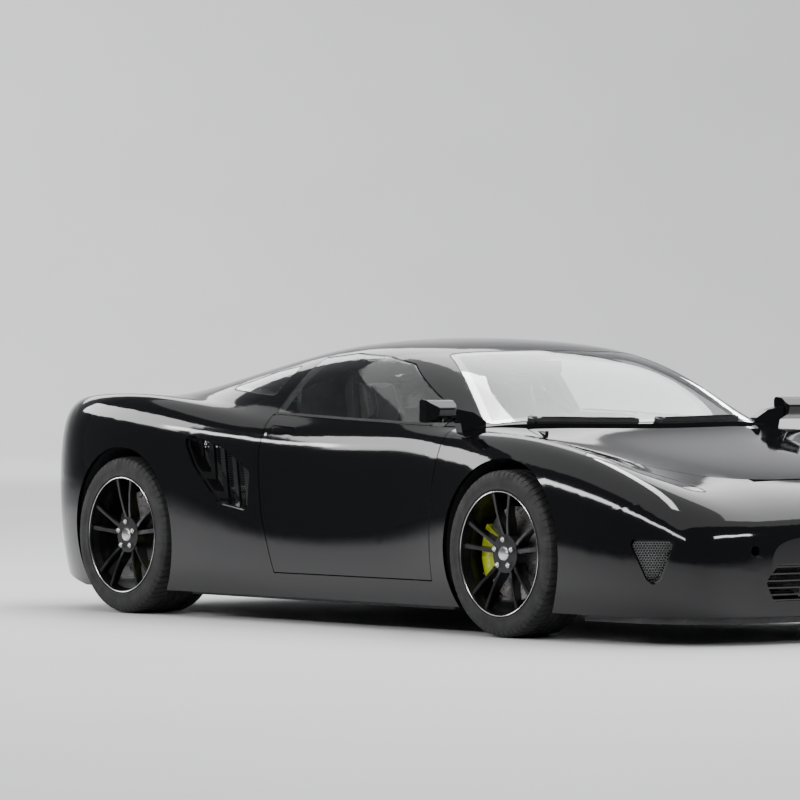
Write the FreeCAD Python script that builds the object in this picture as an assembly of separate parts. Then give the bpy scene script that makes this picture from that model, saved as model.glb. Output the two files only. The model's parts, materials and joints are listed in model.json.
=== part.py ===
import FreeCAD, Part
import math
import os

# Mid-engined two-seat sports coupe, in millimetres.
# Origin on the ground under the middle of the car, +X forward, +Y left, +Z up.

# Driving dimensions
WHEELBASE = 2650.0
FRONT_AXLE_X = 1210.0
REAR_AXLE_X = FRONT_AXLE_X - WHEELBASE
FRONT_TRACK = 1679.0
REAR_TRACK = 1647.0
FRONT_TYRE_RADIUS = 340.0
REAR_TYRE_RADIUS = 345.5
FRONT_TYRE_WIDTH = 245.0
REAR_TYRE_WIDTH = 305.0
RIM_SEAT_RADIUS = 254.0
FLOOR_Z = 112.0
PANEL = 18.0
ROOF_DEPTH = 34.0
GLASS = 6.0
LAMP_GLASS = 8.0
DOOR_DEPTH = 92.0
LID_DEPTH = 24.0
SHUT_GAP = 5.0
SEAT_CLEARANCE = 0.3
SHAFT_CLEARANCE = 0.05
FRONT_ARCH_RADIUS = 385.0
REAR_ARCH_RADIUS = 388.0
OUTSIDE = 1200.0
SKY = 1500.0
GLASS_INNER_Y = -350.0

# Hinge lines
DOOR_HINGE_X = 620.0
DOOR_HINGE_Y = 845.0
DOOR_EDGE_RADIUS = 142.0
BONNET_HINGE_X = 985.0
BONNET_HINGE_DROP = 34.0
BONNET_EDGE_RADIUS = 38.5
BONNET_REAR_GAP = 9.0
BONNET_PIN_RADIUS = 6.0
BONNET_HINGE_Y = 575.0
BONNET_HINGE_ROOM = 130.0
COWL_DROP = 30.0
COWL_DEPTH = 12.0
COVER_HINGE_X = -565.0
COVER_HINGE_DROP = 44.0
COVER_EDGE_RADIUS = 50.0
COVER_HINGE_ROOM = 442.0
KINGPIN_Y = 800.0

# Control frame of half the skin, one row per station from nose to tail. The columns are
# x, then y and z of the frame's points from the sill up to the middle of the roof:
# x, sill_y, waist_y, waist_z, side_y, side_z, crest_y, crest_z, top_y, top_z,
# belt_y, belt_z, glass_y, glass_z, rail_y, rail_z, mid_z
STATIONS = (
    (2285, 400, 440, 250, 440, 330, 420, 385, 360, 410, 300, 420, 240, 424, 170, 428, 430),
    (2275, 640, 690, 260, 690, 360, 650, 430, 560, 465, 470, 480, 370, 490, 260, 496, 500),
    (2190, 800, 850, 290, 845, 420, 800, 510, 700, 548, 590, 560, 460, 570, 320, 580, 585),
    (2000, 890, 925, 330, 915, 480, 870, 600, 790, 640, 670, 630, 520, 632, 360, 645, 652),
    (1650, 940, 975, 400, 955, 580, 900, 735, 810, 765, 690, 715, 540, 700, 380, 715, 722),
    (1210, 930, 985, 430, 975, 640, 920, 800, 830, 838, 730, 790, 590, 765, 420, 785, 792),
    (930, 915, 958, 430, 950, 620, 915, 780, 870, 830, 805, 830, 700, 830, 500, 850, 865),
    (620, 915, 935, 440, 925, 620, 900, 750, 885, 815, 860, 845, 800, 930, 640, 1020, 1065),
    (300, 922, 938, 445, 922, 620, 900, 750, 880, 815, 850, 860, 770, 1010, 640, 1148, 1190),
    (-80, 930, 945, 450, 922, 630, 900, 760, 875, 830, 840, 875, 755, 1035, 615, 1172, 1224),
    (-450, 938, 960, 450, 935, 655, 915, 790, 880, 850, 830, 895, 740, 1030, 590, 1158, 1212),
    (-800, 945, 978, 465, 965, 690, 940, 840, 885, 905, 820, 920, 710, 1005, 570, 1102, 1155),
    (-1130, 950, 988, 475, 985, 730, 950, 890, 890, 955, 800, 945, 670, 980, 540, 1045, 1080),
    (-1440, 945, 990, 480, 990, 745, 955, 915, 885, 982, 780, 960, 640, 960, 500, 985, 1005),
    (-1760, 930, 978, 480, 972, 745, 938, 915, 862, 978, 750, 950, 600, 935, 440, 945, 955),
    (-2030, 850, 915, 480, 905, 730, 875, 890, 800, 958, 710, 948, 575, 935, 420, 940, 945),
    (-2190, 730, 800, 480, 798, 700, 775, 840, 720, 910, 655, 925, 550, 932, 400, 938, 942),
    (-2285, 600, 660, 470, 660, 660, 645, 780, 605, 850, 570, 880, 490, 892, 360, 900, 905),
)


def point(x, y, z):
    """A point in the car's frame."""
    return FreeCAD.Vector(x, y, z)


AXIS_X = point(1, 0, 0)
AXIS_Y = point(0, 1, 0)
AXIS_Z = point(0, 0, 1)
ORIGIN = point(0, 0, 0)


def mirrored(shape):
    """The same shape on the car's left side."""
    return shape.mirror(ORIGIN, AXIS_Y)


def both_sides(shape):
    """A right-hand shape and its left-hand twin, as separate solids."""
    return Part.makeCompound(shape.Solids + mirrored(shape).Solids)


def box(x, y, z):
    """A box from three pairs of limits."""
    return Part.makeBox(x[1] - x[0], y[1] - y[0], z[1] - z[0], point(x[0], y[0], z[0]))


def cylinder(radius, start, axis, length):
    """A cylinder from its start point along an axis."""
    return Part.makeCylinder(radius, length, start, axis)


def tube(outer, inner, start, axis, length):
    """A plain tube."""
    return cylinder(outer, start, axis, length).cut(cylinder(inner, start, axis, length))


def rounded_wire(points, radius):
    """A closed outline whose corners are rounded by arcs."""
    edges = []
    previous = None
    first = None
    count = len(points)
    for i in range(count):
        corner = points[i]
        back = points[i - 1] - corner
        ahead = points[(i + 1) % count] - corner
        half = back.getAngle(ahead) / 2.0
        reach = min(radius / math.tan(half), 0.45 * back.Length, 0.45 * ahead.Length)
        turn = reach * math.tan(half)
        back.normalize()
        ahead.normalize()
        start = corner + back * reach
        end = corner + ahead * reach
        if turn > 0.01 and half < math.radians(89.5):
            inward = back + ahead
            inward.normalize()
            middle = corner + inward * (turn / math.sin(half) - turn)
            arc = Part.Arc(start, middle, end).toShape()
        else:
            start = corner
            end = corner
            arc = None
        if previous is not None:
            edges.append(Part.makeLine(previous, start))
        else:
            first = start
        if arc is not None:
            edges.append(arc)
        previous = end
    edges.append(Part.makeLine(previous, first))
    return Part.Wire(edges)


def shifted_outline(points, distance):
    """The outline moved outwards by a distance, or inwards when it is negative."""
    area = 0.0
    count = len(points)
    for i in range(count):
        a = points[i]
        b = points[(i + 1) % count]
        area += a[0] * b[1] - b[0] * a[1]
    side = 1.0 if area > 0 else -1.0
    moved = []
    for i in range(count):
        a = points[i - 1]
        b = points[i]
        c = points[(i + 1) % count]
        d1 = (b[0] - a[0], b[1] - a[1])
        d2 = (c[0] - b[0], c[1] - b[1])
        l1 = math.hypot(d1[0], d1[1])
        l2 = math.hypot(d2[0], d2[1])
        n1 = (side * d1[1] / l1, -side * d1[0] / l1)
        n2 = (side * d2[1] / l2, -side * d2[0] / l2)
        bisector = 1.0 + n1[0] * n2[0] + n1[1] * n2[1]
        moved.append((b[0] + distance * (n1[0] + n2[0]) / bisector,
                      b[1] + distance * (n1[1] + n2[1]) / bisector))
    return moved


def side_prism(points, y, radius=0.0):
    """An outline in x and z, extruded between two values of y."""
    wire = rounded_wire([point(px, y[0], pz) for px, pz in points], radius)
    return Part.Face(wire).extrude(AXIS_Y * (y[1] - y[0]))


def plan_prism(points, z, radius=0.0):
    """An outline in x and y, extruded between two values of z."""
    wire = rounded_wire([point(px, py, z[0]) for px, py in points], radius)
    return Part.Face(wire).extrude(AXIS_Z * (z[1] - z[0]))


def front_prism(points, x, radius=0.0):
    """An outline in y and z, extruded between two values of x."""
    wire = rounded_wire([point(x[0], py, pz) for py, pz in points], radius)
    return Part.Face(wire).extrude(AXIS_X * (x[1] - x[0]))


def symmetric(points):
    """A right-hand half outline completed by its mirror image in y."""
    return list(points) + [(px, -py) for px, py in reversed(points) if abs(py) > 1.0]


RIGHT = (-OUTSIDE, 0.0)
FULL = (-OUTSIDE, OUTSIDE)


# The skin

SPAN_DEGREE = 3


def control_net():
    """The full control frame, from the right sill over the roof to the left sill."""
    net = []
    for row in STATIONS:
        (x, sill_y, waist_y, waist_z, side_y, side_z, crest_y, crest_z, top_y, top_z,
         belt_y, belt_z, glass_y, glass_z, rail_y, rail_z, mid_z) = row
        tuck_y = (sill_y + waist_y) / 2.0 + 8.0
        tuck_z = (FLOOR_Z + waist_z) / 2.0 - 60.0
        half = [(sill_y, FLOOR_Z), (tuck_y, tuck_z), (waist_y, waist_z), (side_y, side_z),
                (crest_y, crest_z), (top_y, top_z), (belt_y, belt_z), (glass_y, glass_z),
                (rail_y, rail_z), (rail_y * 0.55, mid_z - (mid_z - rail_z) * 0.25)]
        ring = [point(x, -y, z) for y, z in half]
        ring.append(point(x, 0, mid_z))
        ring += [point(x, y, z) for y, z in reversed(half)]
        net.append(ring)
    return net


def knot_vector(count):
    """Evenly spaced clamped knots and their multiplicities."""
    spans = count - SPAN_DEGREE
    knots = [i / float(spans) for i in range(spans + 1)]
    multiplicities = [SPAN_DEGREE + 1] + [1] * (spans - 1) + [SPAN_DEGREE + 1]
    return knots, multiplicities


def surface_of(net):
    """The bicubic surface of a control frame."""
    u_knots, u_counts = knot_vector(len(net))
    v_knots, v_counts = knot_vector(len(net[0]))
    surface = Part.BSplineSurface()
    surface.buildFromPolesMultsKnots(net, u_counts, v_counts, u_knots, v_knots, False, False,
                                     SPAN_DEGREE, SPAN_DEGREE)
    return surface


def averages(count):
    """The parameter that each control point acts on most."""
    knots, multiplicities = knot_vector(count)
    full = []
    for knot, times in zip(knots, multiplicities):
        full += [knot] * times
    found = [sum(full[i + 1:i + SPAN_DEGREE + 1]) / SPAN_DEGREE for i in range(count)]
    return [min(max(value, 1e-4), 1 - 1e-4) for value in found]


def inset_net(net, depth):
    """The control frame moved inwards by a wall's depth."""
    surface = surface_of(net)
    u_values = averages(len(net))
    v_values = averages(len(net[0]))
    moved = []
    for i, ring in enumerate(net):
        line = []
        for j, old in enumerate(ring):
            normal = surface.normal(u_values[i], v_values[j])
            if normal.y * old.y + normal.z * (old.z - 400.0) < 0:
                normal = normal * -1
            new = old - normal * depth
            if i == 0:
                new.x = old.x - depth
            if i == len(net) - 1:
                new.x = old.x + depth
            if j in (0, len(ring) - 1):
                new.z = FLOOR_Z
            line.append(new)
        moved.append(line)
    return moved


def skin_solid(depth):
    """The closed body shape, moved inwards by a depth."""
    net = control_net()
    if depth > 0:
        net = inset_net(net, depth)
    surface = surface_of(net)
    nose = surface.uIso(0).toShape()
    tail = surface.uIso(1).toShape()
    right = surface.vIso(0).toShape()
    left = surface.vIso(1).toShape()
    nose_foot = Part.makeLine(net[0][0], net[0][-1])
    tail_foot = Part.makeLine(net[-1][0], net[-1][-1])
    faces = [surface.toShape(), Part.Face(Part.Wire([nose, nose_foot])),
             Part.Face(Part.Wire([tail, tail_foot])),
             Part.Face(Part.Wire([right, tail_foot, left, nose_foot]))]
    shell = Part.Shell(faces)
    shell.sewShape()
    solid = Part.Solid(Part.Shell(shell.Faces))
    if solid.Volume < 0:
        solid.reverse()
    return solid


OUTER = skin_solid(0.0)
PANEL_CORE = skin_solid(PANEL)
ROOF_CORE = skin_solid(ROOF_DEPTH)
GLASS_CORE = skin_solid(GLASS)
LAMP_CORE = skin_solid(LAMP_GLASS)


def moved(shape, x=0.0, y=0.0, z=0.0):
    """A copy of a shape, shifted."""
    copy = shape.copy()
    copy.translate(point(x, y, z))
    return copy


RIGHT_DOOR_CORE = moved(OUTER, y=DOOR_DEPTH)
LID_CORE = moved(OUTER, z=-LID_DEPTH)


def skin_top(x, y):
    """Height of the skin over a point of the floor."""
    line = Part.makeLine(point(x, y, 400.0), point(x, y, SKY))
    return OUTER.common(line).BoundBox.ZMax


BONNET_HINGE_Z = skin_top(BONNET_HINGE_X, 560.0) - BONNET_HINGE_DROP
COVER_HINGE_Z = skin_top(COVER_HINGE_X, 300.0) - COVER_HINGE_DROP


# Shut lines and openings. Side outlines are (x, z), plan outlines are (x, y).

SILL_TOP_Z = 212.0
DOOR_OPENING = ((900, SILL_TOP_Z), (-340, SILL_TOP_Z), (-425, 450), (-478, 700), (-478, 886),
                (0, 869), (640, 850), (900, 845))
BELT_ABOVE = ((1010, 700), (830, 700), (830, 847), (640, 850), (0, 869), (-478, 886),
              (-800, 925), (-1200, 985), (-1200, SKY), (1010, SKY))
SIDE_GLASS_OPENING = ((700, 760), (700, 884), (560, 965), (262, 1104), (60, 1136), (-200, 1148),
                      (-430, 1128), (-486, 760))
QUARTER_GLASS = ((-560, 962), (-548, 1098), (-740, 1066), (-985, 1000), (-960, 985))
SCREEN_BASE = ((800, -900), (1000, 0), (800, 900))
BONNET_CORNER_X = 955.0
BONNET_CORNER_Y = 612.0
BONNET_REAR = ((BONNET_CORNER_X, -BONNET_CORNER_Y), (1046, 0), (BONNET_CORNER_X, BONNET_CORNER_Y))
BONNET_SIDE = ((1250, -640), (1620, -590), (1880, -470), (1975, -320), (2005, -120))
SCREEN_HALF = ((985, 0), (955, -330), (858, -742), (292, -500), (330, -250), (340, 0))
COVER_HALF = ((-506, 0), (-512, -250), (-535, -430), (-900, -480), (-1300, -560),
              (-1700, -610), (-1985, -600), (-2040, -300), (-2050, 0))
COVER_GLASS_HALF = ((-640, 0), (-640, -330), (-1180, -410), (-1230, -380), (-1240, 0))
NOSE_LINE = ((1300, 0), (1300, 500), (1500, 588), (1840, 522), (2010, 560), (2040, 900),
             (2400, 900), (2400, 0))
TAIL_LINE = ((-1500, 0), (-1500, 470), (-1795, 505), (-2000, 600), (-2055, 690), (-2055, 1100),
             (-2400, 1100), (-2400, 0))
LAMP_HALF = ((2085, -590), (2050, -668), (1880, -768), (1625, -852), (1590, -812),
             (1790, -712), (1960, -610))


def arc_outline(rear_arc, points):
    """A plan outline whose first edge is an arc through three points."""
    start, middle, end = [point(px, py, 0) for px, py in rear_arc]
    edges = [Part.Arc(start, middle, end).toShape()]
    chain = [end] + [point(px, py, 0) for px, py in points] + [start]
    for a, b in zip(chain, chain[1:]):
        edges.append(Part.makeLine(a, b))
    return Part.Face(Part.Wire(edges))


def lid_outline(gap):
    """The bonnet's plan outline of lines and arcs, drawn in by a gap."""
    rear_gap = BONNET_REAR_GAP if gap > 0 else 0.0
    corner = point(BONNET_CORNER_X + rear_gap, -BONNET_CORNER_Y + gap, 0)
    p = [point(px - (gap if px > 1900 else 0), py + gap, 0) for px, py in BONNET_SIDE]
    right = [Part.makeLine(corner, p[0]), Part.Arc(p[0], p[1], p[2]).toShape(),
             Part.Arc(p[2], p[3], p[4]).toShape()]
    left = [mirrored(edge) for edge in right]
    front = Part.makeLine(p[4], point(p[4].x, -p[4].y, 0))
    middle = point(BONNET_REAR[1][0] + rear_gap, 0, 0)
    rear = Part.Arc(point(corner.x, -corner.y, 0), middle, corner).toShape()
    edges = [rear] + right + [front] + left
    return Part.Face(Part.Wire(Part.__sortEdges__(edges)))


def hinge_zone(x, z, radius, half_width):
    """The cylinder swept by a lid's hinged edge."""
    return cylinder(radius, point(x, -half_width, z), AXIS_Y, 2 * half_width)


def bonnet_opening():
    """The hole in the front bodywork that the bonnet closes."""
    hole = moved(lid_outline(0.0).extrude(AXIS_Z * 1000.0), z=500.0)
    for start_y in (-BONNET_CORNER_Y, BONNET_CORNER_Y - BONNET_HINGE_ROOM):
        start = point(BONNET_HINGE_X, start_y, BONNET_HINGE_Z)
        hole = hole.fuse(cylinder(BONNET_EDGE_RADIUS + SHUT_GAP, start, AXIS_Y,
                                  BONNET_HINGE_ROOM))
    return hole


def canopy_zone():
    """Everything of the skin above the belt and behind the windscreen's base."""
    base = arc_outline(SCREEN_BASE, ((-1200, 900), (-1200, -900)))
    return moved(base.extrude(AXIS_Z * 1000.0), z=700.0).common(side_prism(BELT_ABOVE, FULL))


def door_zone(gap):
    """The door's block of space, drawn in by a gap, with its curved front edge."""
    outline = shifted_outline(DOOR_OPENING, -gap) if gap > 0 else DOOR_OPENING
    slab = side_prism(outline, (-OUTSIDE, -500.0))
    behind = box((-700, DOOR_HINGE_X), (-OUTSIDE, -500), (0, SKY))
    edge = cylinder(DOOR_EDGE_RADIUS + SHUT_GAP - gap, point(DOOR_HINGE_X, -DOOR_HINGE_Y, 0),
                    AXIS_Z, SKY)
    return slab.common(behind.fuse(edge))


def arch_zone(axle_x, axle_z, radius):
    """The round wheel opening on the right side."""
    return cylinder(radius, point(axle_x, -OUTSIDE, axle_z), AXIS_Y, 800.0)


FRONT_ARCH = arch_zone(FRONT_AXLE_X, FRONT_TYRE_RADIUS, FRONT_ARCH_RADIUS)
REAR_ARCH = arch_zone(REAR_AXLE_X, REAR_TYRE_RADIUS, REAR_ARCH_RADIUS)
SHELL = OUTER.cut(PANEL_CORE)
CANOPY = canopy_zone()
BONNET_HOLE = bonnet_opening()
DOOR_HOLE = door_zone(0.0)
NOSE = side_prism(NOSE_LINE, FULL)
TAIL = side_prism(TAIL_LINE, FULL)
COVER_HOLE = plan_prism(symmetric(COVER_HALF), (600, SKY), 40.0).fuse(
    hinge_zone(COVER_HINGE_X, COVER_HINGE_Z, COVER_EDGE_RADIUS + SHUT_GAP, COVER_HINGE_ROOM))
HEADLAMP_HOLE = plan_prism(LAMP_HALF, (430, SKY), 14.0)


def cowl_zone():
    """The strip between the bonnet and the windscreen."""
    rear = [point(px, py, 0) for px, py in SCREEN_BASE]
    front = [point(px, py, 0) for px, py in BONNET_REAR]
    edges = [Part.Arc(rear[0], rear[1], rear[2]).toShape(), Part.makeLine(rear[2], front[2]),
             Part.Arc(front[2], front[1], front[0]).toShape(), Part.makeLine(front[0], rear[0])]
    return moved(Part.Face(Part.Wire(edges)).extrude(AXIS_Z * 1000.0), z=600.0)


COWL = cowl_zone()


# Bodywork

DUCT_HEADING = math.radians(-39.0)
DUCT_CENTRE = (1985.0, -805.0)
DUCT_OUTLINE = ((-95, 418), (95, 418), (35, 262), (5, 238), (-25, 262))
MOUTH_OUTLINE = ((-430, 172), (430, 172), (470, 250), (400, 318), (-400, 318), (-470, 250))
SIDE_INTAKE = ((-520, 470), (-520, 640), (-700, 735), (-1010, 812), (-900, 660), (-720, 500))
TOW_EYE_Y = -520.0
TOW_EYE_Z = 372.0
TOW_EYE_RADIUS = 8.0


def corner_prism(outline, depth):
    """A prism that looks squarely into the right front corner."""
    across = point(-math.sin(DUCT_HEADING), math.cos(DUCT_HEADING), 0)
    inward = point(-math.cos(DUCT_HEADING), -math.sin(DUCT_HEADING), 0)
    start = point(DUCT_CENTRE[0], DUCT_CENTRE[1], 0) - inward * 200.0
    wire = rounded_wire([start + across * s + AXIS_Z * z for s, z in outline], 18.0)
    return Part.Face(wire).extrude(inward * (200.0 + depth))


DUCT = corner_prism(DUCT_OUTLINE, 120.0)
MOUTH = front_prism(MOUTH_OUTLINE, (2100, 2400), 30.0)


def front_bumper():
    """Nose skin with its mouth, two corner ducts and the towing-eye hole."""
    skin = SHELL.common(NOSE).cut(FRONT_ARCH).cut(mirrored(FRONT_ARCH)).cut(BONNET_HOLE)
    tow_hole = cylinder(20.0, point(2100, TOW_EYE_Y, TOW_EYE_Z), AXIS_X, 300.0)
    for tool in (DUCT, mirrored(DUCT), MOUTH, HEADLAMP_HOLE, mirrored(HEADLAMP_HOLE), tow_hole):
        skin = skin.cut(tool)
    return skin


def front_fender():
    """Right front wing, from the nose line to the door."""
    zone = box((560, 2300), (-OUTSIDE, -300), (SILL_TOP_Z, SKY))
    wing = SHELL.common(zone)
    pane = side_prism(SIDE_GLASS_OPENING, (-OUTSIDE, GLASS_INNER_Y), 22.0)
    for tool in (NOSE, FRONT_ARCH, CANOPY, COWL, BONNET_HOLE, DOOR_HOLE, HEADLAMP_HOLE, pane):
        wing = wing.cut(tool)
    return biggest(wing)


def biggest(shape):
    """The largest solid of a shape."""
    return max(shape.Solids, key=lambda solid: solid.Volume)


def cowl_panel():
    """Sunk black panel under the wipers, low enough for the bonnet's edge to swing over."""
    sunk = moved(OUTER, z=-COWL_DROP).cut(moved(OUTER, z=-COWL_DROP - COWL_DEPTH))
    return biggest(sunk.common(COWL).cut(BONNET_HOLE).cut(CANOPY))


def side_skirts():
    """The two sills under the doors, flat inside where they bolt to the tub."""
    zone = box((-1300, 1100), (-OUTSIDE, -TUB_HALF_WIDTH), (FLOOR_Z, SILL_TOP_Z))
    skirt = OUTER.common(zone).cut(FRONT_ARCH).cut(REAR_ARCH)
    return both_sides(biggest(skirt))


def rear_quarter():
    """Right rear wing with its side intake."""
    zone = box((-2300, -300), (-OUTSIDE, -200), (SILL_TOP_Z, SKY))
    wing = SHELL.common(zone)
    intake = side_prism(SIDE_INTAKE, (-OUTSIDE, -700), 30.0)
    for tool in (TAIL, REAR_ARCH, CANOPY, COVER_HOLE, DOOR_HOLE, intake):
        wing = wing.cut(tool)
    return biggest(wing)


TAIL_LAMP_Y = 560.0
TAIL_LAMP_Z = 800.0
TAIL_LAMP_RADIUS = 72.0
# The dark lower panel of the tail as (y, z), the vent between the lamps and the corner vents
LOWER_PANEL = ((-610, 0), (-610, 225), (-530, 400), (-470, 462), (470, 462), (530, 400),
               (610, 225), (610, 0))
TAIL_VENT = ((-380, 700), (380, 700), (420, 780), (400, 850), (-400, 850), (-420, 780))
CORNER_VENT = ((-690, 330), (-650, 330), (-690, 540), (-728, 540))
TAIL_UNDERCUT = ((-1810, 0), (-1810, FLOOR_Z), (-2300, 195), (-2300, 0))
PLATE_RECESS = ((-265, 265), (500, 620))
PLATE_RECESS_DEPTH = 9.0
EXHAUST_TIP_RADIUS = 46.0
EXHAUST_TIPS_Y = (-330.0, -215.0, 215.0, 330.0)
EXHAUST_Z = 372.0
EXHAUST_GAP = 8.0
EXHAUST_WALL = 4.0
EXHAUST_TIP_LENGTH = 180.0
SILENCER_LOW_Z = 320.0
TAIL_X = -2285.0


def rear_bumper():
    """Tail skin with lamp seats, vents, a bare plate recess and the lower panel's cut-out."""
    skin = SHELL.common(TAIL).cut(REAR_ARCH).cut(mirrored(REAR_ARCH)).cut(COVER_HOLE)
    corner = front_prism(CORNER_VENT, (-2400, -1900), 12.0)
    recess = box((TAIL_X - 100, TAIL_X + PLATE_RECESS_DEPTH), PLATE_RECESS[0], PLATE_RECESS[1])
    tools = [front_prism(LOWER_PANEL, (-2400, -1850), 20.0), side_prism(TAIL_UNDERCUT, FULL),
             front_prism(TAIL_VENT, (-2400, -2150), 25.0), corner, mirrored(corner), recess]
    for side in (-1, 1):
        start = point(-2400, side * TAIL_LAMP_Y, TAIL_LAMP_Z)
        tools.append(cylinder(TAIL_LAMP_RADIUS + SEAT_CLEARANCE, start, AXIS_X, 300.0))
    for tool in tools:
        skin = skin.cut(tool)
    return biggest(skin)


def roof_frame():
    """Roof skin with both windscreen posts, the door posts and the rear sails."""
    frame = OUTER.cut(ROOF_CORE).common(CANOPY)
    screen = plan_prism(symmetric(SCREEN_HALF), (700, SKY), 45.0)
    glass = side_prism(SIDE_GLASS_OPENING, (-OUTSIDE, GLASS_INNER_Y), 22.0)
    quarter = side_prism(QUARTER_GLASS, (-OUTSIDE, GLASS_INNER_Y), 20.0)
    tools = [screen, COVER_HOLE, DOOR_HOLE, mirrored(DOOR_HOLE)]
    for tool in (glass, quarter):
        tools += [tool, mirrored(tool)]
    for tool in tools:
        frame = frame.cut(tool)
    return biggest(frame)


# Wall behind the seats, its front and rear face, and the window in it as (y, z)
BULKHEAD_X = (-540.0, -512.0)
BULKHEAD = ((-690, FLOOR_Z), (690, FLOOR_Z), (690, 800), (600, SKY), (-600, SKY), (-690, 800))
REAR_WINDOW = ((-430, 905), (430, 905), (340, 1052), (-340, 1052))


def bonded_glass():
    """Windscreen, the two small quarter panes and the window behind the seats."""
    sheet = OUTER.cut(GLASS_CORE)
    screen = sheet.common(plan_prism(symmetric(SCREEN_HALF), (700, SKY), 45.0)).common(CANOPY)
    quarter = sheet.common(side_prism(QUARTER_GLASS, (-OUTSIDE, GLASS_INNER_Y), 20.0))
    middle = (BULKHEAD_X[0] + BULKHEAD_X[1]) / 2.0
    rear = front_prism(REAR_WINDOW, (middle - GLASS / 2.0, middle + GLASS / 2.0), 35.0)
    return Part.makeCompound([biggest(screen), rear] + both_sides(quarter).Solids)


# Moving panels and their hinges

BONNET_BRACKET_WIDTH = 12.0
BONNET_BRACKET_REACH = 12.0
DOOR_PIN_RADIUS = 9.0
DOOR_HINGES_Z = (370.0, 690.0)
DOOR_HINGE_HEIGHT = 24.0
TUB_HALF_WIDTH = 830.0
FLOOR_DEPTH = 30.0
HINGE_SLOT_CLEARANCE = 4.0
DOOR_EDGE_GAP = 8.0


# Outline (x, z) of the flush door handle and the width of the groove round it
HANDLE = ((-285, 802), (-425, 812), (-430, 836), (-285, 828))
HANDLE_GROOVE = 4.0


def door_body():
    """Right door: outer skin, full depth, flush handle, armrest pocket and hinge slots."""
    door = OUTER.cut(RIGHT_DOOR_CORE).common(door_zone(SHUT_GAP))
    door = biggest(door)
    pocket = side_prism(((480, 330), (-330, 330), (-380, 560), (480, 560)), (-870, -700), 60.0)
    handle = side_prism(HANDLE, RIGHT, 8.0)
    groove = side_prism(shifted_outline(HANDLE, HANDLE_GROOVE), RIGHT, 12.0).cut(handle)
    door = door.cut(pocket).cut(groove.cut(LAMP_CORE))
    for z in DOOR_HINGES_Z:
        reach = DOOR_HINGE_HEIGHT / 2.0 + HINGE_SLOT_CLEARANCE
        foot = point(DOOR_HINGE_X, -DOOR_HINGE_Y, z - reach)
        slot = cylinder(DOOR_EDGE_RADIUS + DOOR_EDGE_GAP, foot, AXIS_Z, 2 * reach)
        door = door.cut(slot.common(PANEL_CORE))
        bore = cylinder(DOOR_PIN_RADIUS + SHAFT_CLEARANCE,
                        point(DOOR_HINGE_X, -DOOR_HINGE_Y, z - 2 * reach - 1.0), AXIS_Z,
                        4 * reach + 2.0)
        door = door.cut(bore)
    return biggest(door)


def door_glass():
    """Right door's frameless pane."""
    sheet = OUTER.cut(GLASS_CORE)
    outline = shifted_outline(SIDE_GLASS_OPENING, -SHUT_GAP)
    pane = sheet.common(side_prism(outline, (-OUTSIDE, GLASS_INNER_Y), 20.0))
    above = shifted_outline(DOOR_OPENING, -SHUT_GAP)
    pane = pane.cut(side_prism(above, RIGHT))
    return biggest(pane)


def lid_stiffener(zone, count, x, half_width, height):
    """Cross ribs under a lid."""
    ribs = []
    for i in range(count):
        place = x[0] + (x[1] - x[0]) * i / (count - 1.0)
        ribs.append(box((place - 12, place + 12), (-half_width, half_width), height))
    return [rib.common(zone) for rib in ribs]


def bonnet():
    """Luggage lid with a rim, cross ribs and two hinge lugs."""
    outline = moved(lid_outline(SHUT_GAP).extrude(AXIS_Z * 1000.0), z=500.0)
    lid = OUTER.cut(LID_CORE).common(outline)
    behind = box((700, BONNET_HINGE_X), (-700, 700), (500, SKY))
    edge = hinge_zone(BONNET_HINGE_X, BONNET_HINGE_Z, BONNET_EDGE_RADIUS, 700.0)
    lid = biggest(lid.cut(behind.cut(edge)))
    under = moved(OUTER, z=-LID_DEPTH).cut(moved(OUTER, z=-LID_DEPTH - 16.0))
    lid = lid.fuse(lid_stiffener(under, 3, (1150, 1750), 400.0, (500, 900)))
    for side in (-1, 1):
        y = side * BONNET_HINGE_Y
        lug = box((BONNET_HINGE_X - 14, BONNET_HINGE_X + 60), (y - 9, y + 9),
                  (BONNET_HINGE_Z - 14, BONNET_HINGE_Z + BONNET_HINGE_DROP - 6.0))
        plate_room = bonnet_bracket_zone(side)
        lid = lid.cut(cylinder(BONNET_BRACKET_REACH + SHUT_GAP,
                               point(BONNET_HINGE_X, plate_room[0] - SHUT_GAP, BONNET_HINGE_Z),
                               AXIS_Y, BONNET_BRACKET_WIDTH + 2 * SHUT_GAP))
        lid = lid.fuse(lug)
        lid = lid.cut(cylinder(BONNET_PIN_RADIUS + SHAFT_CLEARANCE,
                               point(BONNET_HINGE_X, y - 20, BONNET_HINGE_Z), AXIS_Y, 40.0))
    return biggest(lid)


COVER_HINGE_Y = 300.0
COVER_PIN_RADIUS = 7.0
COVER_BRACKET_REACH = 12.0
COVER_BRACKET_WIDTH = 12.0
COVER_SLOTS = 6
COVER_SLOT_START = -1860.0
COVER_SLOT_PITCH = 92.0
COVER_SLOT_WIDTH = 46.0


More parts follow.
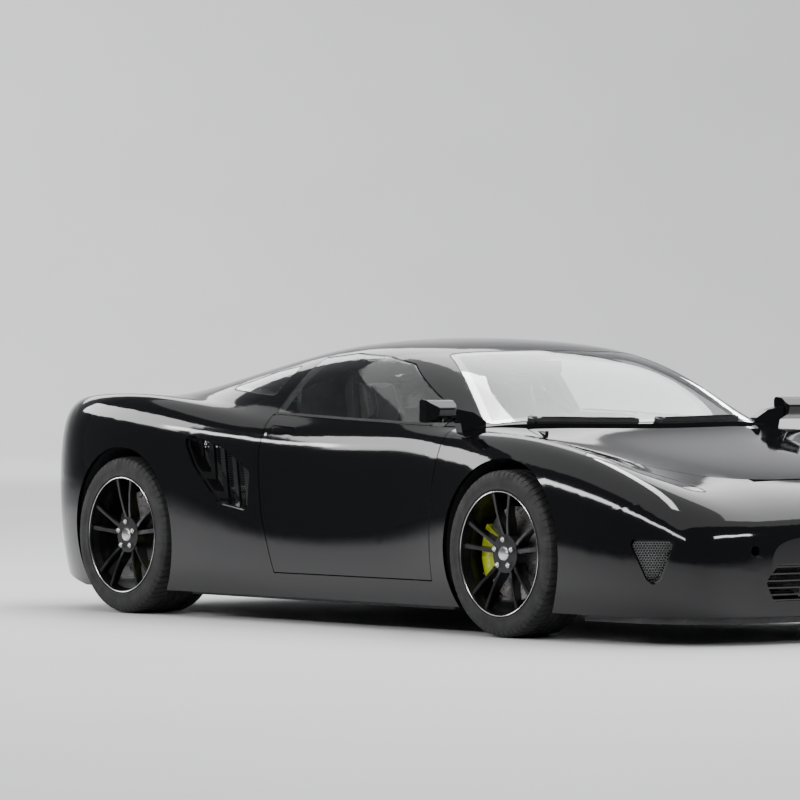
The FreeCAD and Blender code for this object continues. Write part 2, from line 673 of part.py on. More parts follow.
def engine_cover():
    """Rear lid with its window opening, cooling slots and two hinge lugs."""
    outline = plan_prism(shifted_outline(symmetric(COVER_HALF), -SHUT_GAP), (600, SKY), 40.0)
    lid = OUTER.cut(LID_CORE).common(outline)
    ahead = box((COVER_HINGE_X, -300), (-700, 700), (500, SKY))
    edge = hinge_zone(COVER_HINGE_X, COVER_HINGE_Z, COVER_EDGE_RADIUS, 700.0)
    lid = biggest(lid.cut(ahead.cut(edge)))
    lid = lid.cut(plan_prism(symmetric(COVER_GLASS_HALF), (600, SKY), 40.0))
    for i in range(COVER_SLOTS):
        x = COVER_SLOT_START + i * COVER_SLOT_PITCH
        slot = box((x, x + COVER_SLOT_WIDTH), (-380, 380), (600, SKY))
        lid = lid.cut(slot)
    for side in (-1, 1):
        y = side * COVER_HINGE_Y
        lug = box((COVER_HINGE_X - 60, COVER_HINGE_X + 15), (y - 9, y + 9),
                  (COVER_HINGE_Z - 15, COVER_HINGE_Z + COVER_HINGE_DROP - 10.0))
        lid = lid.fuse(lug)
        lid = lid.cut(cylinder(COVER_PIN_RADIUS + SHAFT_CLEARANCE, point(COVER_HINGE_X, y - 20,
                               COVER_HINGE_Z), AXIS_Y, 40.0))
    return biggest(lid)


def cover_glass():
    """Pane over the engine."""
    sheet = OUTER.cut(GLASS_CORE)
    return biggest(sheet.common(plan_prism(symmetric(COVER_GLASS_HALF), (600, SKY), 40.0)))


# Wheels and running gear

def tyre(radius, width):
    """A tyre with flat-sided beads, bulged walls and bevelled shoulders."""
    half = width / 2.0
    bore = RIM_SEAT_RADIUS + SEAT_CLEARANCE
    wall = (radius - bore) / 2.0 + bore
    profile = [(-half + 14, bore), (-half, wall), (-half + 8, radius - 16), (-half + 26, radius),
               (half - 26, radius), (half - 8, radius - 16), (half, wall), (half - 14, bore)]
    points = [point(0, y, z) for y, z in profile]
    face = Part.Face(Part.makePolygon(points + [points[0]]))
    return face.revolve(ORIGIN, AXIS_Y, 360.0)


# Wheel: pairs of slim spokes from the hub to the barrel
SPOKE_PAIRS = 5
SPOKE_HUB_OFFSET = 11.0
SPOKE_RIM_OFFSET = 52.0
# Half widths of one spoke at the hub, half way and at the rim, and of its raised rib
SPOKE_HALF_WIDTHS = ((60.0, 11.0), (150.0, 8.0), (246.0, 11.0))
SPOKE_RIB_STEP = 3.0
RIB_HEIGHT = 4.0
HUB_RADIUS = 78.0
HUB_BORE = 30.0
# Brake disc: its outer face lies at DISC_OFFSET from the wheel's middle
DISC_RADIUS = 190.0
DISC_THICKNESS = 32.0
DISC_OFFSET = -30.0
DISC_SLOT = 12.0
BELL_RADIUS = 92.0
STUDS = 5
STUD_CIRCLE = 57.0
STUD_RADIUS = 10.0
LIP_INSET = 6.0


def barrel(width):
    """The wheel's barrel with its two lips, as a revolved section of (y, radius)."""
    half = width / 2.0
    section = [(-half, RIM_SEAT_RADIUS), (half, RIM_SEAT_RADIUS), (half, 243), (half - 12, 238),
               (-half + 44, 238), (-half + 18, 245), (-half + 6, 247), (-half, 249)]
    points = [point(0, y, z) for y, z in section]
    return Part.Face(Part.makePolygon(points + [points[0]])).revolve(ORIGIN, AXIS_Y, 360.0)


def spoke_zone(face_y, sunk):
    """The dished space that the spokes fill, sunk behind the face by a step."""
    hub_face = face_y + 30 + sunk
    outer = [(0, hub_face), (70, hub_face), (110, face_y + 20 + sunk), (180, face_y + 10 + sunk),
             (249, face_y + 6 + sunk), (249, face_y + 32), (170, face_y + 46), (90, face_y + 74),
             (0, face_y + 80)]
    points = [point(0, y, r) for r, y in outer]
    return Part.Face(Part.makePolygon(points + [points[0]])).revolve(ORIGIN, AXIS_Y, 360.0)


def spoke_prisms(narrower):
    """All spokes seen from outside, as straight prisms along the axle."""
    prisms = []
    for i in range(SPOKE_PAIRS):
        for side in (-1, 1):
            left = []
            right = []
            for radius, half_width in SPOKE_HALF_WIDTHS:
                share = (radius - 60.0) / 186.0
                middle = side * (SPOKE_HUB_OFFSET + (SPOKE_RIM_OFFSET - SPOKE_HUB_OFFSET) * share)
                left.append(point(middle - half_width + narrower, -400, radius))
                right.append(point(middle + half_width - narrower, -400, radius))
            outline = left + list(reversed(right))
            prism = Part.Face(Part.makePolygon(outline + [outline[0]])).extrude(AXIS_Y * 800.0)
            prism.rotate(ORIGIN, AXIS_Y, 360.0 * i / SPOKE_PAIRS)
            prisms.append(prism)
    return prisms[0].fuse(prisms[1:])


def rim(width, disc_offset, bored):
    """Right wheel about its own centre: barrel, ribbed spokes, hub, studs and brake disc."""
    face_y = -width / 2.0 + LIP_INSET
    hub = cylinder(HUB_RADIUS, point(0, face_y + 26, 0), AXIS_Y, disc_offset - face_y - 26)
    low = spoke_prisms(0.0).common(spoke_zone(face_y, RIB_HEIGHT))
    ribs = spoke_prisms(SPOKE_RIB_STEP).common(spoke_zone(face_y, 0.0))
    disc = cylinder(DISC_RADIUS, point(0, disc_offset, 0), AXIS_Y, DISC_THICKNESS)
    vent = tube(DISC_RADIUS + 10, BELL_RADIUS + 20,
                point(0, disc_offset + (DISC_THICKNESS - DISC_SLOT) / 2.0, 0), AXIS_Y, DISC_SLOT)
    wheel = barrel(width).fuse([hub, low, ribs, disc.cut(vent)])
    if bored:
        wheel = wheel.cut(cylinder(HUB_BORE + SHAFT_CLEARANCE, point(0, face_y + 44, 0), AXIS_Y,
                                   width))
    for i in range(STUDS):
        angle = 2 * math.pi * i / STUDS
        centre = point(STUD_CIRCLE * math.sin(angle), face_y + 16, STUD_CIRCLE * math.cos(angle))
        wheel = wheel.fuse(cylinder(STUD_RADIUS, centre, AXIS_Y, 16.0))
    return wheel.removeSplitter()


# Uprights, kingpin ends and wishbones; heights are measured from the axle
KNUCKLE_GAP = 8.0
FRONT_ARMS_Z = (-135.0, 135.0)
REAR_ARMS_Z = (-100.0, 110.0)
PIN_RADIUS = 12.0
PIN_LENGTH = 44.0
CALLIPER_SPAN = 32.0
CALLIPER_DEPTH = 116.0
CALLIPER_GAP = 3.0
RAIL_Y = 360.0
FRONT_RAIL_WIDTH = 40.0
REAR_RAIL_WIDTH = 60.0
ARM_DEPTH = 26.0
ARM_HALF_WIDTH = 13.0


def front_knuckle():
    """Right front upright with spindle, kingpin ends and a brake calliper."""
    wheel_y = -FRONT_TRACK / 2.0
    inner = wheel_y + DISC_OFFSET + DISC_THICKNESS + KNUCKLE_GAP
    x = FRONT_AXLE_X
    z = FRONT_TYRE_RADIUS
    body = box((x - 42, x + 42), (inner, inner + 34), (z - 105, z + 120))
    spindle = cylinder(HUB_BORE, point(x, wheel_y - 40, z), AXIS_Y, inner - wheel_y + 50)
    collar = cylinder(52.0, point(x, inner - KNUCKLE_GAP + 2, z), AXIS_Y, 20.0)
    pieces = [spindle, collar, calliper(x, wheel_y, z, -1)]
    for pin_z in FRONT_ARMS_Z:
        end = 1 if pin_z > 0 else -1
        reach = sorted((z + pin_z - end * 40, z + pin_z + end * 16))
        pieces.append(box((x - 24, x + 24), (inner, -KINGPIN_Y + 24), reach))
        low = reach[1] if end > 0 else reach[0] - PIN_LENGTH
        pieces.append(cylinder(PIN_RADIUS, point(x, -KINGPIN_Y, low), AXIS_Z, PIN_LENGTH))
    return body.fuse(pieces).removeSplitter()


def calliper(x, wheel_y, z, way):
    """Calliper that bridges the disc, ahead of or behind the axle, with its bracket."""
    centre = point(x, wheel_y - 34, z)
    ring = tube(DISC_RADIUS + 26.0, DISC_RADIUS - 62.0, centre, AXIS_Y, CALLIPER_DEPTH)
    wedge = [centre]
    for angle in (-CALLIPER_SPAN, CALLIPER_SPAN):
        a = math.radians(angle)
        wedge.append(centre + point(way * 300 * math.cos(a), 0, 300 * math.sin(a)))
    sector = Part.Face(Part.makePolygon(wedge + [centre])).extrude(AXIS_Y * CALLIPER_DEPTH)
    slot = tube(DISC_RADIUS + CALLIPER_GAP + 1.0, 90.0,
                point(x, wheel_y + DISC_OFFSET - CALLIPER_GAP, z), AXIS_Y,
                DISC_THICKNESS + 2 * CALLIPER_GAP)
    body = ring.common(sector).cut(slot)
    inner = wheel_y + DISC_OFFSET + DISC_THICKNESS + KNUCKLE_GAP
    reach = (x + way * 30, x + way * (DISC_RADIUS - 30))
    bracket = box((min(reach), max(reach)), (inner, inner + 22), (z - 40, z + 40))
    return body.fuse(bracket)


def rear_knuckle():
    """Right rear upright with a bore for the drive shaft and a brake calliper."""
    wheel_y = -REAR_TRACK / 2.0
    inner = wheel_y + DISC_OFFSET + DISC_THICKNESS + KNUCKLE_GAP
    x = REAR_AXLE_X
    z = REAR_TYRE_RADIUS
    body = box((x - 45, x + 45), (inner, inner + 50), (z - 130, z + 130))
    collar = cylinder(62.0, point(x, inner - KNUCKLE_GAP + 2, z), AXIS_Y, 30.0)
    upright = body.fuse([collar, calliper(x, wheel_y, z, 1)])
    return upright.cut(cylinder(HUB_BORE + SHAFT_CLEARANCE, point(x, wheel_y - 100, z), AXIS_Y,
                                400.0))


def front_arms():
    """Upper and lower front wishbones of the right side, with eyes on the kingpin."""
    arms = []
    for pin_z in FRONT_ARMS_Z:
        z = FRONT_TYRE_RADIUS + pin_z + (30 if pin_z > 0 else -30)
        eye = (FRONT_AXLE_X, -KINGPIN_Y)
        arms.append(wishbone(eye, -RAIL_Y - FRONT_RAIL_WIDTH, z, 150.0, 28.0, True))
    return arms


def wishbone(eye, root_y, z, spread, eye_radius, bored):
    """A flat two-legged arm from its eye to the frame rail."""
    x, y = eye
    legs = []
    for side in (-1, 1):
        a = point(x, y, z - ARM_DEPTH / 2.0)
        b = point(x + side * spread, root_y, z - ARM_DEPTH / 2.0)
        along = b - a
        across = along.cross(AXIS_Z)
        across.normalize()
        across = across * ARM_HALF_WIDTH
        outline = [a + across, b + across, b - across, a - across]
        legs.append(Part.Face(Part.makePolygon(outline + [outline[0]])).extrude(
            AXIS_Z * ARM_DEPTH))
    boss = cylinder(eye_radius, point(x, y, z - ARM_DEPTH / 2.0), AXIS_Z, ARM_DEPTH)
    inside = box((x - 400, x + 400), (root_y, 0), (z - 50, z + 50))
    arm = boss.fuse(legs).cut(inside)
    if bored:
        arm = arm.cut(cylinder(PIN_RADIUS + SHAFT_CLEARANCE, point(x, y, z - 50), AXIS_Z, 100))
    return arm


def rear_arms():
    """Upper and lower rear wishbones of the right side, bolted to the upright."""
    arms = []
    inner = -REAR_TRACK / 2.0 + DISC_OFFSET + DISC_THICKNESS + KNUCKLE_GAP + 50.0
    for arm_z in REAR_ARMS_Z:
        z = REAR_TYRE_RADIUS + arm_z
        arm = wishbone((REAR_AXLE_X, inner + 8.0), -RAIL_Y - REAR_RAIL_WIDTH, z, 170.0, 30.0,
                       False)
        arms.append(arm)
    return arms


def suspension():
    """Front wishbones, and rear uprights joined by their own wishbones."""
    right = front_arms() + [rear_knuckle().fuse(rear_arms())]
    return Part.makeCompound(right + [mirrored(piece) for piece in right])


# Wheel arch liners: axle x, axle height, arch radius, inboard edge
LINERS = (
    (FRONT_AXLE_X, FRONT_TYRE_RADIUS, FRONT_ARCH_RADIUS, 520.0),
    (REAR_AXLE_X, REAR_TYRE_RADIUS, REAR_ARCH_RADIUS, 620.0),
)
LINER = 7.0
LINER_GAP = 3.0


def wheel_liners():
    """Inner arch skins over the four wheels."""
    liners = []
    for x, z, radius, inboard in LINERS:
        inner = radius + LINER_GAP
        ring = tube(inner + LINER, inner, point(x, -OUTSIDE, z), AXIS_Y, OUTSIDE - inboard)
        ring = ring.common(PANEL_CORE)
        ring = ring.common(box((-2300, 2300), (-OUTSIDE, 0), (SILL_TOP_Z + 2, SKY)))
        liners.append(biggest(ring))
    return Part.makeCompound(liners + [mirrored(liner) for liner in liners])


# Tub, floor and inner structure

# Tub members. Each row is one box: x range, y range, height range. The rows of the first
# table come once on each side, those of the second once across the car.
SIDE_MEMBERS = (
    ((-1020, 790), (690, TUB_HALF_WIDTH), (FLOOR_Z, SILL_TOP_Z - 8)),
    ((-540, 700), (690, 805), (FLOOR_Z, 330)),
    ((735, 800), (600, 735), (FLOOR_Z, 735)),
    ((-1990, -500), (RAIL_Y, RAIL_Y + REAR_RAIL_WIDTH), (200, 300)),
    ((880, 2030), (RAIL_Y, RAIL_Y + FRONT_RAIL_WIDTH), (200, 300)),
    ((REAR_AXLE_X - 205, REAR_AXLE_X - 105), (RAIL_Y, RAIL_Y + REAR_RAIL_WIDTH), (200, 500)),
    ((REAR_AXLE_X + 105, REAR_AXLE_X + 205), (RAIL_Y, RAIL_Y + REAR_RAIL_WIDTH), (200, 500)),
    ((FRONT_AXLE_X - 190, FRONT_AXLE_X + 190), (RAIL_Y, RAIL_Y + FRONT_RAIL_WIDTH), (170, 540)),
)
SCUTTLE_Z = 735.0
CROSS_MEMBERS = (
    ((880, 900), (-500, 500), (FLOOR_Z, 700)),
    ((735, 900), (-600, 600), (SCUTTLE_Z - 45, SCUTTLE_Z)),
    ((2030, 2080), (-600, 600), (240, 420)),
    ((-2040, -1990), (-560, 560), (200, SILENCER_LOW_Z - SEAT_CLEARANCE)),
)
# Plan outlines (x, y) of half the floor and of the right corner of the dash wall
FLOOR_HALF = ((-560, 0), (-560, -700), (808, -700), (808, -500), (900, -500), (900, 0))
DASH_CORNER = ((880, -480), (900, -480), (900, -500), (808, -516), (808, -640), (788, -640),
               (788, -500))
TOW_EYE_X = 2200.0
TOW_EYE_LENGTH = 60.0
TOW_BOSS_RADIUS = 20.0


def chassis_tub():
    """Cabin floor, sills, bulkheads, hinge posts, frame rails and bumper beams."""
    floor = plan_prism(symmetric(FLOOR_HALF), (FLOOR_Z, FLOOR_Z + FLOOR_DEPTH))
    pieces = [box(x, y, z) for x, y, z in CROSS_MEMBERS]
    for x, y, z in SIDE_MEMBERS:
        pieces += both_sides(box(x, y, z)).Solids
    corner = plan_prism(DASH_CORNER, (FLOOR_Z, 700))
    boss = cylinder(TOW_BOSS_RADIUS, point(2070, TOW_EYE_Y, TOW_EYE_Z), AXIS_X, TOW_EYE_X - 2070)
    pieces += [corner, mirrored(corner), boss, rear_bulkhead(), luggage_tub()]
    for side in (-1, 1):
        pieces += [bonnet_bracket(side), cover_bracket(side)]
    tub = floor.fuse(pieces)
    hinges = []
    for side in (-1, 1):
        foot = point(DOOR_HINGE_X, side * DOOR_HINGE_Y, SILL_TOP_Z - 8)
        tub = tub.cut(cylinder(DOOR_EDGE_RADIUS + DOOR_EDGE_GAP, foot, AXIS_Z, 1000.0))
        hinges += [hinge_plate(side, z) for z in DOOR_HINGES_Z]
    tub = tub.fuse(hinges).removeSplitter()
    bore = cylinder(TOW_EYE_RADIUS, point(TOW_EYE_X - TOW_EYE_LENGTH, TOW_EYE_Y, TOW_EYE_Z),
                    AXIS_X, TOW_EYE_LENGTH + 10)
    return tub.cut(bore)


def rear_bulkhead():
    """Wall between the seats and the engine, up to the roof, with its window cut."""
    wall = front_prism(BULKHEAD, BULKHEAD_X, 40.0).common(ROOF_CORE)
    swing = hinge_zone(COVER_HINGE_X, COVER_HINGE_Z, COVER_EDGE_RADIUS + SHUT_GAP,
                       COVER_HINGE_ROOM + SHUT_GAP)
    return biggest(wall.cut(swing).cut(front_prism(REAR_WINDOW, (-600, -400), 35.0)))


def cover_bracket(side):
    """Gusset and pin on the bulkhead for one hinge of the engine cover."""
    y = side * COVER_HINGE_Y
    near = y + side * 14.0
    low = min(near, near + side * COVER_BRACKET_WIDTH)
    x, z = COVER_HINGE_X, COVER_HINGE_Z
    gusset = side_prism(((x - COVER_BRACKET_REACH, z), (x + COVER_BRACKET_REACH, z),
                         (BULKHEAD_X[0] + 2, z - 60), (BULKHEAD_X[0] + 2, z - 130),
                         (x - COVER_BRACKET_REACH, z - 60)), (low, low + COVER_BRACKET_WIDTH))
    head = cylinder(COVER_BRACKET_REACH, point(x, low, z), AXIS_Y, COVER_BRACKET_WIDTH)
    start = min(y - side * 12, y + side * 20)
    pin = cylinder(COVER_PIN_RADIUS, point(x, start, z), AXIS_Y, 32.0)
    return gusset.fuse([head, pin])


def hinge_plate(side, z):
    """Door hinge plate with its upright pin, fixed to the hinge post."""
    axis_y = side * DOOR_HINGE_Y
    outline = [(DOOR_HINGE_X - 4, axis_y - side * 18), (DOOR_HINGE_X + 18, axis_y + side * 6),
               (752, side * 728), (752, side * 690), (736, side * 690)]
    low = z - DOOR_HINGE_HEIGHT / 2.0
    plate = plan_prism(outline, (low, low + DOOR_HINGE_HEIGHT))
    eye = cylinder(20.0, point(DOOR_HINGE_X, axis_y, low), AXIS_Z, DOOR_HINGE_HEIGHT)
    reach = DOOR_HINGE_HEIGHT / 2.0 + HINGE_SLOT_CLEARANCE
    pin = cylinder(DOOR_PIN_RADIUS, point(DOOR_HINGE_X, axis_y, z - 2 * reach), AXIS_Z,
                   4 * reach)
    return plate.fuse([eye, pin])


def bonnet_bracket_zone(side):
    """Limits in y of one bonnet bracket, outboard of its lug."""
    near = side * (BONNET_HINGE_Y + 14.0)
    far = near + side * BONNET_BRACKET_WIDTH
    return min(near, far), max(near, far)


def bonnet_bracket(side):
    """Bracket and pin for one bonnet hinge."""
    y = side * BONNET_HINGE_Y
    zone = bonnet_bracket_zone(side)
    plate = box((BONNET_HINGE_X - BONNET_BRACKET_REACH, BONNET_HINGE_X + BONNET_BRACKET_REACH),
                zone, (700, BONNET_HINGE_Z))
    head = cylinder(BONNET_BRACKET_REACH, point(BONNET_HINGE_X, zone[0], BONNET_HINGE_Z), AXIS_Y,
                    BONNET_BRACKET_WIDTH)
    start = min(y - side * 12, y + side * 20)
    pin = cylinder(BONNET_PIN_RADIUS, point(BONNET_HINGE_X, start, BONNET_HINGE_Z), AXIS_Y, 32.0)
    foot = box((880, BONNET_HINGE_X + BONNET_BRACKET_REACH), zone, (692, 732))
    return plate.fuse([head, pin, foot])


def underfloor():
    """Flat floor skin with the wheel openings."""
    half = [(1645, 0), (1645, -780), (1610, -780), (1610, -520), (820, -520), (820, -880),
            (-1040, -880), (-1040, -600), (-1850, -600), (-1850, 0)]
    return plan_prism(symmetric(half), (FLOOR_Z - 14, FLOOR_Z), 12.0)


def front_splitter():
    """Blade under the nose."""
    half = [(2280, 0), (2272, -380), (2246, -620), (2165, -780), (2000, -872), (1660, -890),
            (1660, -520), (1645, -520), (1645, 0)]
    return plan_prism(symmetric(half), (FLOOR_Z - 26, FLOOR_Z), 20.0)


# Side outlines (x, z) of the diffuser's ramp and of one fin
DIFFUSER_RAMP = ((-1850, 98), (-2272, 240), (-2272, 262), (-1850, 112))
DIFFUSER_FIN = ((-1960, 120), (-2262, 150), (-2276, 175), (-2276, 262), (-1960, 150))
DIFFUSER_HALF_WIDTH = 555.0
DIFFUSER_FINS_Y = (-545.0, -330.0, -120.0, 120.0, 330.0, 545.0)
FIN_THICKNESS = 8.0


def rear_diffuser():
    """Dark lower panel round the exhaust tips, with the ramp under the tail and its fins."""
    inside = front_prism(shifted_outline(LOWER_PANEL, -SEAT_CLEARANCE), (-2400, -1980), 20.0)
    panel = SHELL.common(TAIL).common(inside).cut(side_prism(TAIL_UNDERCUT, FULL))
    ramp = side_prism(DIFFUSER_RAMP, (-DIFFUSER_HALF_WIDTH, DIFFUSER_HALF_WIDTH))
    fins = []
    for y in DIFFUSER_FINS_Y:
        fins.append(side_prism(DIFFUSER_FIN, (y - FIN_THICKNESS / 2.0, y + FIN_THICKNESS / 2.0)))
    panel = panel.fuse([ramp] + fins)
    for y in EXHAUST_TIPS_Y:
        panel = panel.cut(cylinder(EXHAUST_TIP_RADIUS + EXHAUST_GAP, point(-2400, y, EXHAUST_Z),
                                   AXIS_X, 300.0))
    return biggest(panel)


def luggage_tub():
    """Open tub under the bonnet."""
    half = ((960, 0), (960, -385), (1640, -385), (1700, -300), (1700, 0))
    outer = plan_prism(symmetric(half), (300, 640), 40.0)
    inner = plan_prism(shifted_outline(symmetric(half), -8.0), (308, 700), 32.0)
    return outer.cut(inner)


def engine_block():
    """Engine, gearbox and sump as one plain mass, stepped as they are."""
    block = front_prism(((-200, 150), (200, 150), (300, 420), (300, 640), (180, 700),
                         (-180, 700), (-300, 640), (-300, 420)), (-1180, -620), 20.0)
    gearbox = front_prism(((-150, 190), (150, 190), (170, 300), (150, 500), (-150, 500),
                           (-170, 300)), (-1850, -1180), 20.0)
    mounts = [box((-1150, -1090), (-RAIL_Y, RAIL_Y), (240, 300)),
              box((-1840, -1780), (-RAIL_Y, RAIL_Y), (240, 300))]
    plenum = side_prism(((-660, 690), (-1120, 690), (-1090, 780), (-700, 790)), (-120, 120), 25.0)
    return block.fuse([gearbox, plenum] + mounts)


def exhaust():
    """Silencer with four tips."""
    outline = ((-2120, SILENCER_LOW_Z), (-1960, SILENCER_LOW_Z), (-1900, 345), (-1900, 470),
               (-2120, 470))
    silencer = side_prism(outline, (-420, 420), 28.0)
    tips = []
    bores = []
    for y in EXHAUST_TIPS_Y:
        start = point(TAIL_X, y, EXHAUST_Z)
        tips.append(cylinder(EXHAUST_TIP_RADIUS, start, AXIS_X, EXHAUST_TIP_LENGTH))
        bores.append(cylinder(EXHAUST_TIP_RADIUS - EXHAUST_WALL, start, AXIS_X,
                              EXHAUST_TIP_LENGTH - 30.0))
    body = silencer.fuse(tips)
    for bore in bores:
        body = body.cut(bore)
    return body


def tail_lamps():
    """Two round lamps in the tail."""
    lamp = cylinder(TAIL_LAMP_RADIUS, point(-2300, -TAIL_LAMP_Y, TAIL_LAMP_Z), AXIS_X, 140.0)
    return both_sides(biggest(lamp.common(OUTER)))


LAMP_DEPTH = 92.0
LAMP_FLOOR = 12.0
LAMP_WALL = 6.0
LAMP_BARRELS = ((1965, -662), (1860, -722), (1745, -770))
LAMP_BARREL_RADIUS = 31.0
LAMP_BARREL_BORE = 25.0
LAMP_BARREL_HEIGHT = 46.0


def headlamp():
    """Right headlamp: clear cover over a bowl with three reflector barrels."""
    body = OUTER.common(HEADLAMP_HOLE).cut(moved(OUTER, z=-LAMP_DEPTH))
    hollow = LAMP_CORE.common(shrunken_lamp()).cut(moved(OUTER, z=-LAMP_DEPTH + LAMP_FLOOR))
    body = biggest(body.cut(hollow))
    for x, y in LAMP_BARRELS:
        foot = point(x, y, skin_top(x, y) - LAMP_DEPTH + LAMP_FLOOR - 8.0)
        body = body.fuse(tube(LAMP_BARREL_RADIUS, LAMP_BARREL_BORE, foot, AXIS_Z,
                              LAMP_BARREL_HEIGHT))
    return biggest(body)


def shrunken_lamp():
    """The lamp outline inside its side walls."""
    return plan_prism(shifted_outline(LAMP_HALF, -LAMP_WALL), (430, SKY), 10.0)


# A duct's wall laps over the rim of its opening by DUCT_LAP and inside it by DUCT_WALL
DUCT_WALL = 6.0
DUCT_LAP = 10.0
MOUTH_BLADES = 5
VENT_BLADES = 6
BLADE_THICKNESS = 6.0
SIDE_SLOTS = 5
SIDE_SLOT_START = -590.0
SIDE_SLOT_PITCH = 80.0
SIDE_SLOT_WIDTH = 50.0
SIDE_SLOT_RAKE = 60.0
SIDE_GRILLE_Y = -890.0


def slats(count, z, y, x, depth):
    """Level grille blades."""
    blades = []
    for i in range(count):
        place = z[0] + (z[1] - z[0]) * (i + 0.5) / count
        blades.append(box((x, x + depth), y, (place - BLADE_THICKNESS / 2.0,
                                              place + BLADE_THICKNESS / 2.0)))
    return blades


def duct(solid_zone, hollow_zone):
    """A short wall from a grille out to the inside of the skin."""
    return solid_zone.cut(hollow_zone).common(PANEL_CORE)


def framed_blades(outline, x, depth, count, way):
    """Level blades in a ring that runs to the skin. way is the side of x that the skin is on."""
    reach = (x, x + way * 300.0)
    limits = (min(reach), max(reach))
    ring = duct(front_prism(shifted_outline(outline, DUCT_LAP), limits, 25.0),
                front_prism(shifted_outline(outline, -DUCT_WALL), limits, 20.0))
    keep = front_prism(outline, (x - depth, x + depth), 25.0)
    y = (min(p[0] for p in outline), max(p[0] for p in outline))
    z = (min(p[1] for p in outline) + 4, max(p[1] for p in outline) - 4)
    start = x if way > 0 else x - depth
    blades = [blade.common(keep) for blade in slats(count, z, y, start, depth)]
    return biggest(ring.fuse(blades))


def side_grille():
    """Raked slots in the floor of the right side intake's duct."""
    around = side_prism(shifted_outline(SIDE_INTAKE, DUCT_LAP), (-OUTSIDE, SIDE_GRILLE_Y), 30.0)
    inside = side_prism(shifted_outline(SIDE_INTAKE, -DUCT_WALL),
                        (-OUTSIDE, SIDE_GRILLE_Y - 2 * DUCT_WALL), 24.0)
    grille = duct(around, inside)
    keep = side_prism(shifted_outline(SIDE_INTAKE, -DUCT_WALL), (-OUTSIDE, -700), 24.0)
    for i in range(SIDE_SLOTS):
        x = SIDE_SLOT_START - i * SIDE_SLOT_PITCH
        top = x - SIDE_SLOT_RAKE
        slot = side_prism(((x, 440), (x - SIDE_SLOT_WIDTH, 440), (top - SIDE_SLOT_WIDTH, 840),
                           (top, 840)), (-OUTSIDE, -700))
        grille = grille.cut(slot.common(keep))
    return biggest(grille)


def corner_grille():
    """Short duct behind the right corner opening of the nose."""
    ring = corner_prism(shifted_outline(DUCT_OUTLINE, DUCT_LAP), 70.0)
    hollow = corner_prism(shifted_outline(DUCT_OUTLINE, -DUCT_WALL), 60.0)
    return biggest(ring.cut(hollow).common(PANEL_CORE))


def corner_vent_grille():
    """Blades behind the right corner vent of the tail."""
    return framed_blades(CORNER_VENT, -2215.0, 10.0, VENT_BLADES, -1)


def grilles():
    """Blades in the mouth, the corner ducts, the side intakes and the tail vents."""
    mouth = framed_blades(MOUTH_OUTLINE, 2130.0, 20.0, MOUTH_BLADES, 1)
    vent = framed_blades(TAIL_VENT, -2225.0, 15.0, VENT_BLADES, -1)
    pieces = [mouth, vent]
    for piece in (side_grille(), corner_grille(), corner_vent_grille()):
        pieces += [piece, mirrored(piece)]
    return Part.makeCompound(pieces)


# Cabin

DRIVER_Y = 365.0
COLUMN_TILT = math.radians(24.0)
WHEEL_CENTRE = (335.0, 690.0)
COLUMN_RADIUS = 12.0
GRIP_CIRCLE = 172.0
GRIP_RADIUS = 15.0


def dashboard():
    """Dashboard with an instrument hood and the steering column."""
    profile = ((895, 738), (895, 775), (740, 812), (600, 832), (520, 824), (492, 780),
               (500, 700), (600, 600), (728, 560), (728, 738))
    dash = side_prism(profile, (-690, 690), 25.0)
    scuttle = box((725, 910), (-700, 700), (600, SCUTTLE_Z + SEAT_CLEARANCE))
    dash = dash.cut(scuttle)
    hood = side_prism(((660, 800), (470, 800), (440, 850), (480, 872), (620, 868)),
                      (DRIVER_Y - 150, DRIVER_Y + 150), 18.0)
    stack = side_prism(((560, 640), (470, 560), (440, 420), (520, 400), (640, 560)), (-100, 100),
                       15.0)
    along = point(math.cos(COLUMN_TILT), 0, -math.sin(COLUMN_TILT))
    start = point(WHEEL_CENTRE[0], DRIVER_Y, WHEEL_CENTRE[1]) + along * 70.0
    column = cylinder(34.0, start, along, 190.0)
    dash = dash.fuse([hood, stack, column])
    bore = cylinder(COLUMN_RADIUS + SHAFT_CLEARANCE, start - along * 10.0, along, 140.0)
    dash = dash.cut(bore)
    return biggest(dash.common(moved(ROOF_CORE, z=-6.0)))


def steering_wheel():
    """Rim, three spokes, hub and shaft."""
    ring = Part.makeTorus(GRIP_CIRCLE, GRIP_RADIUS, ORIGIN, AXIS_X)
    hub = cylinder(48.0, point(-4, 0, 0), AXIS_X, 40.0)
    shaft = cylinder(COLUMN_RADIUS, point(20, 0, 0), AXIS_X, 160.0)
    pieces = [hub, shaft]
    for angle in (90.0, -90.0, 180.0):
        spoke = box((0, 14), (-17, 17), (30, GRIP_CIRCLE))
        spoke.rotate(ORIGIN, AXIS_X, angle)
        pieces.append(spoke)
    wheel = ring.fuse(pieces)
    wheel.rotate(ORIGIN, AXIS_Y, math.degrees(COLUMN_TILT))
    wheel.translate(point(WHEEL_CENTRE[0], DRIVER_Y, WHEEL_CENTRE[1]))
    return wheel


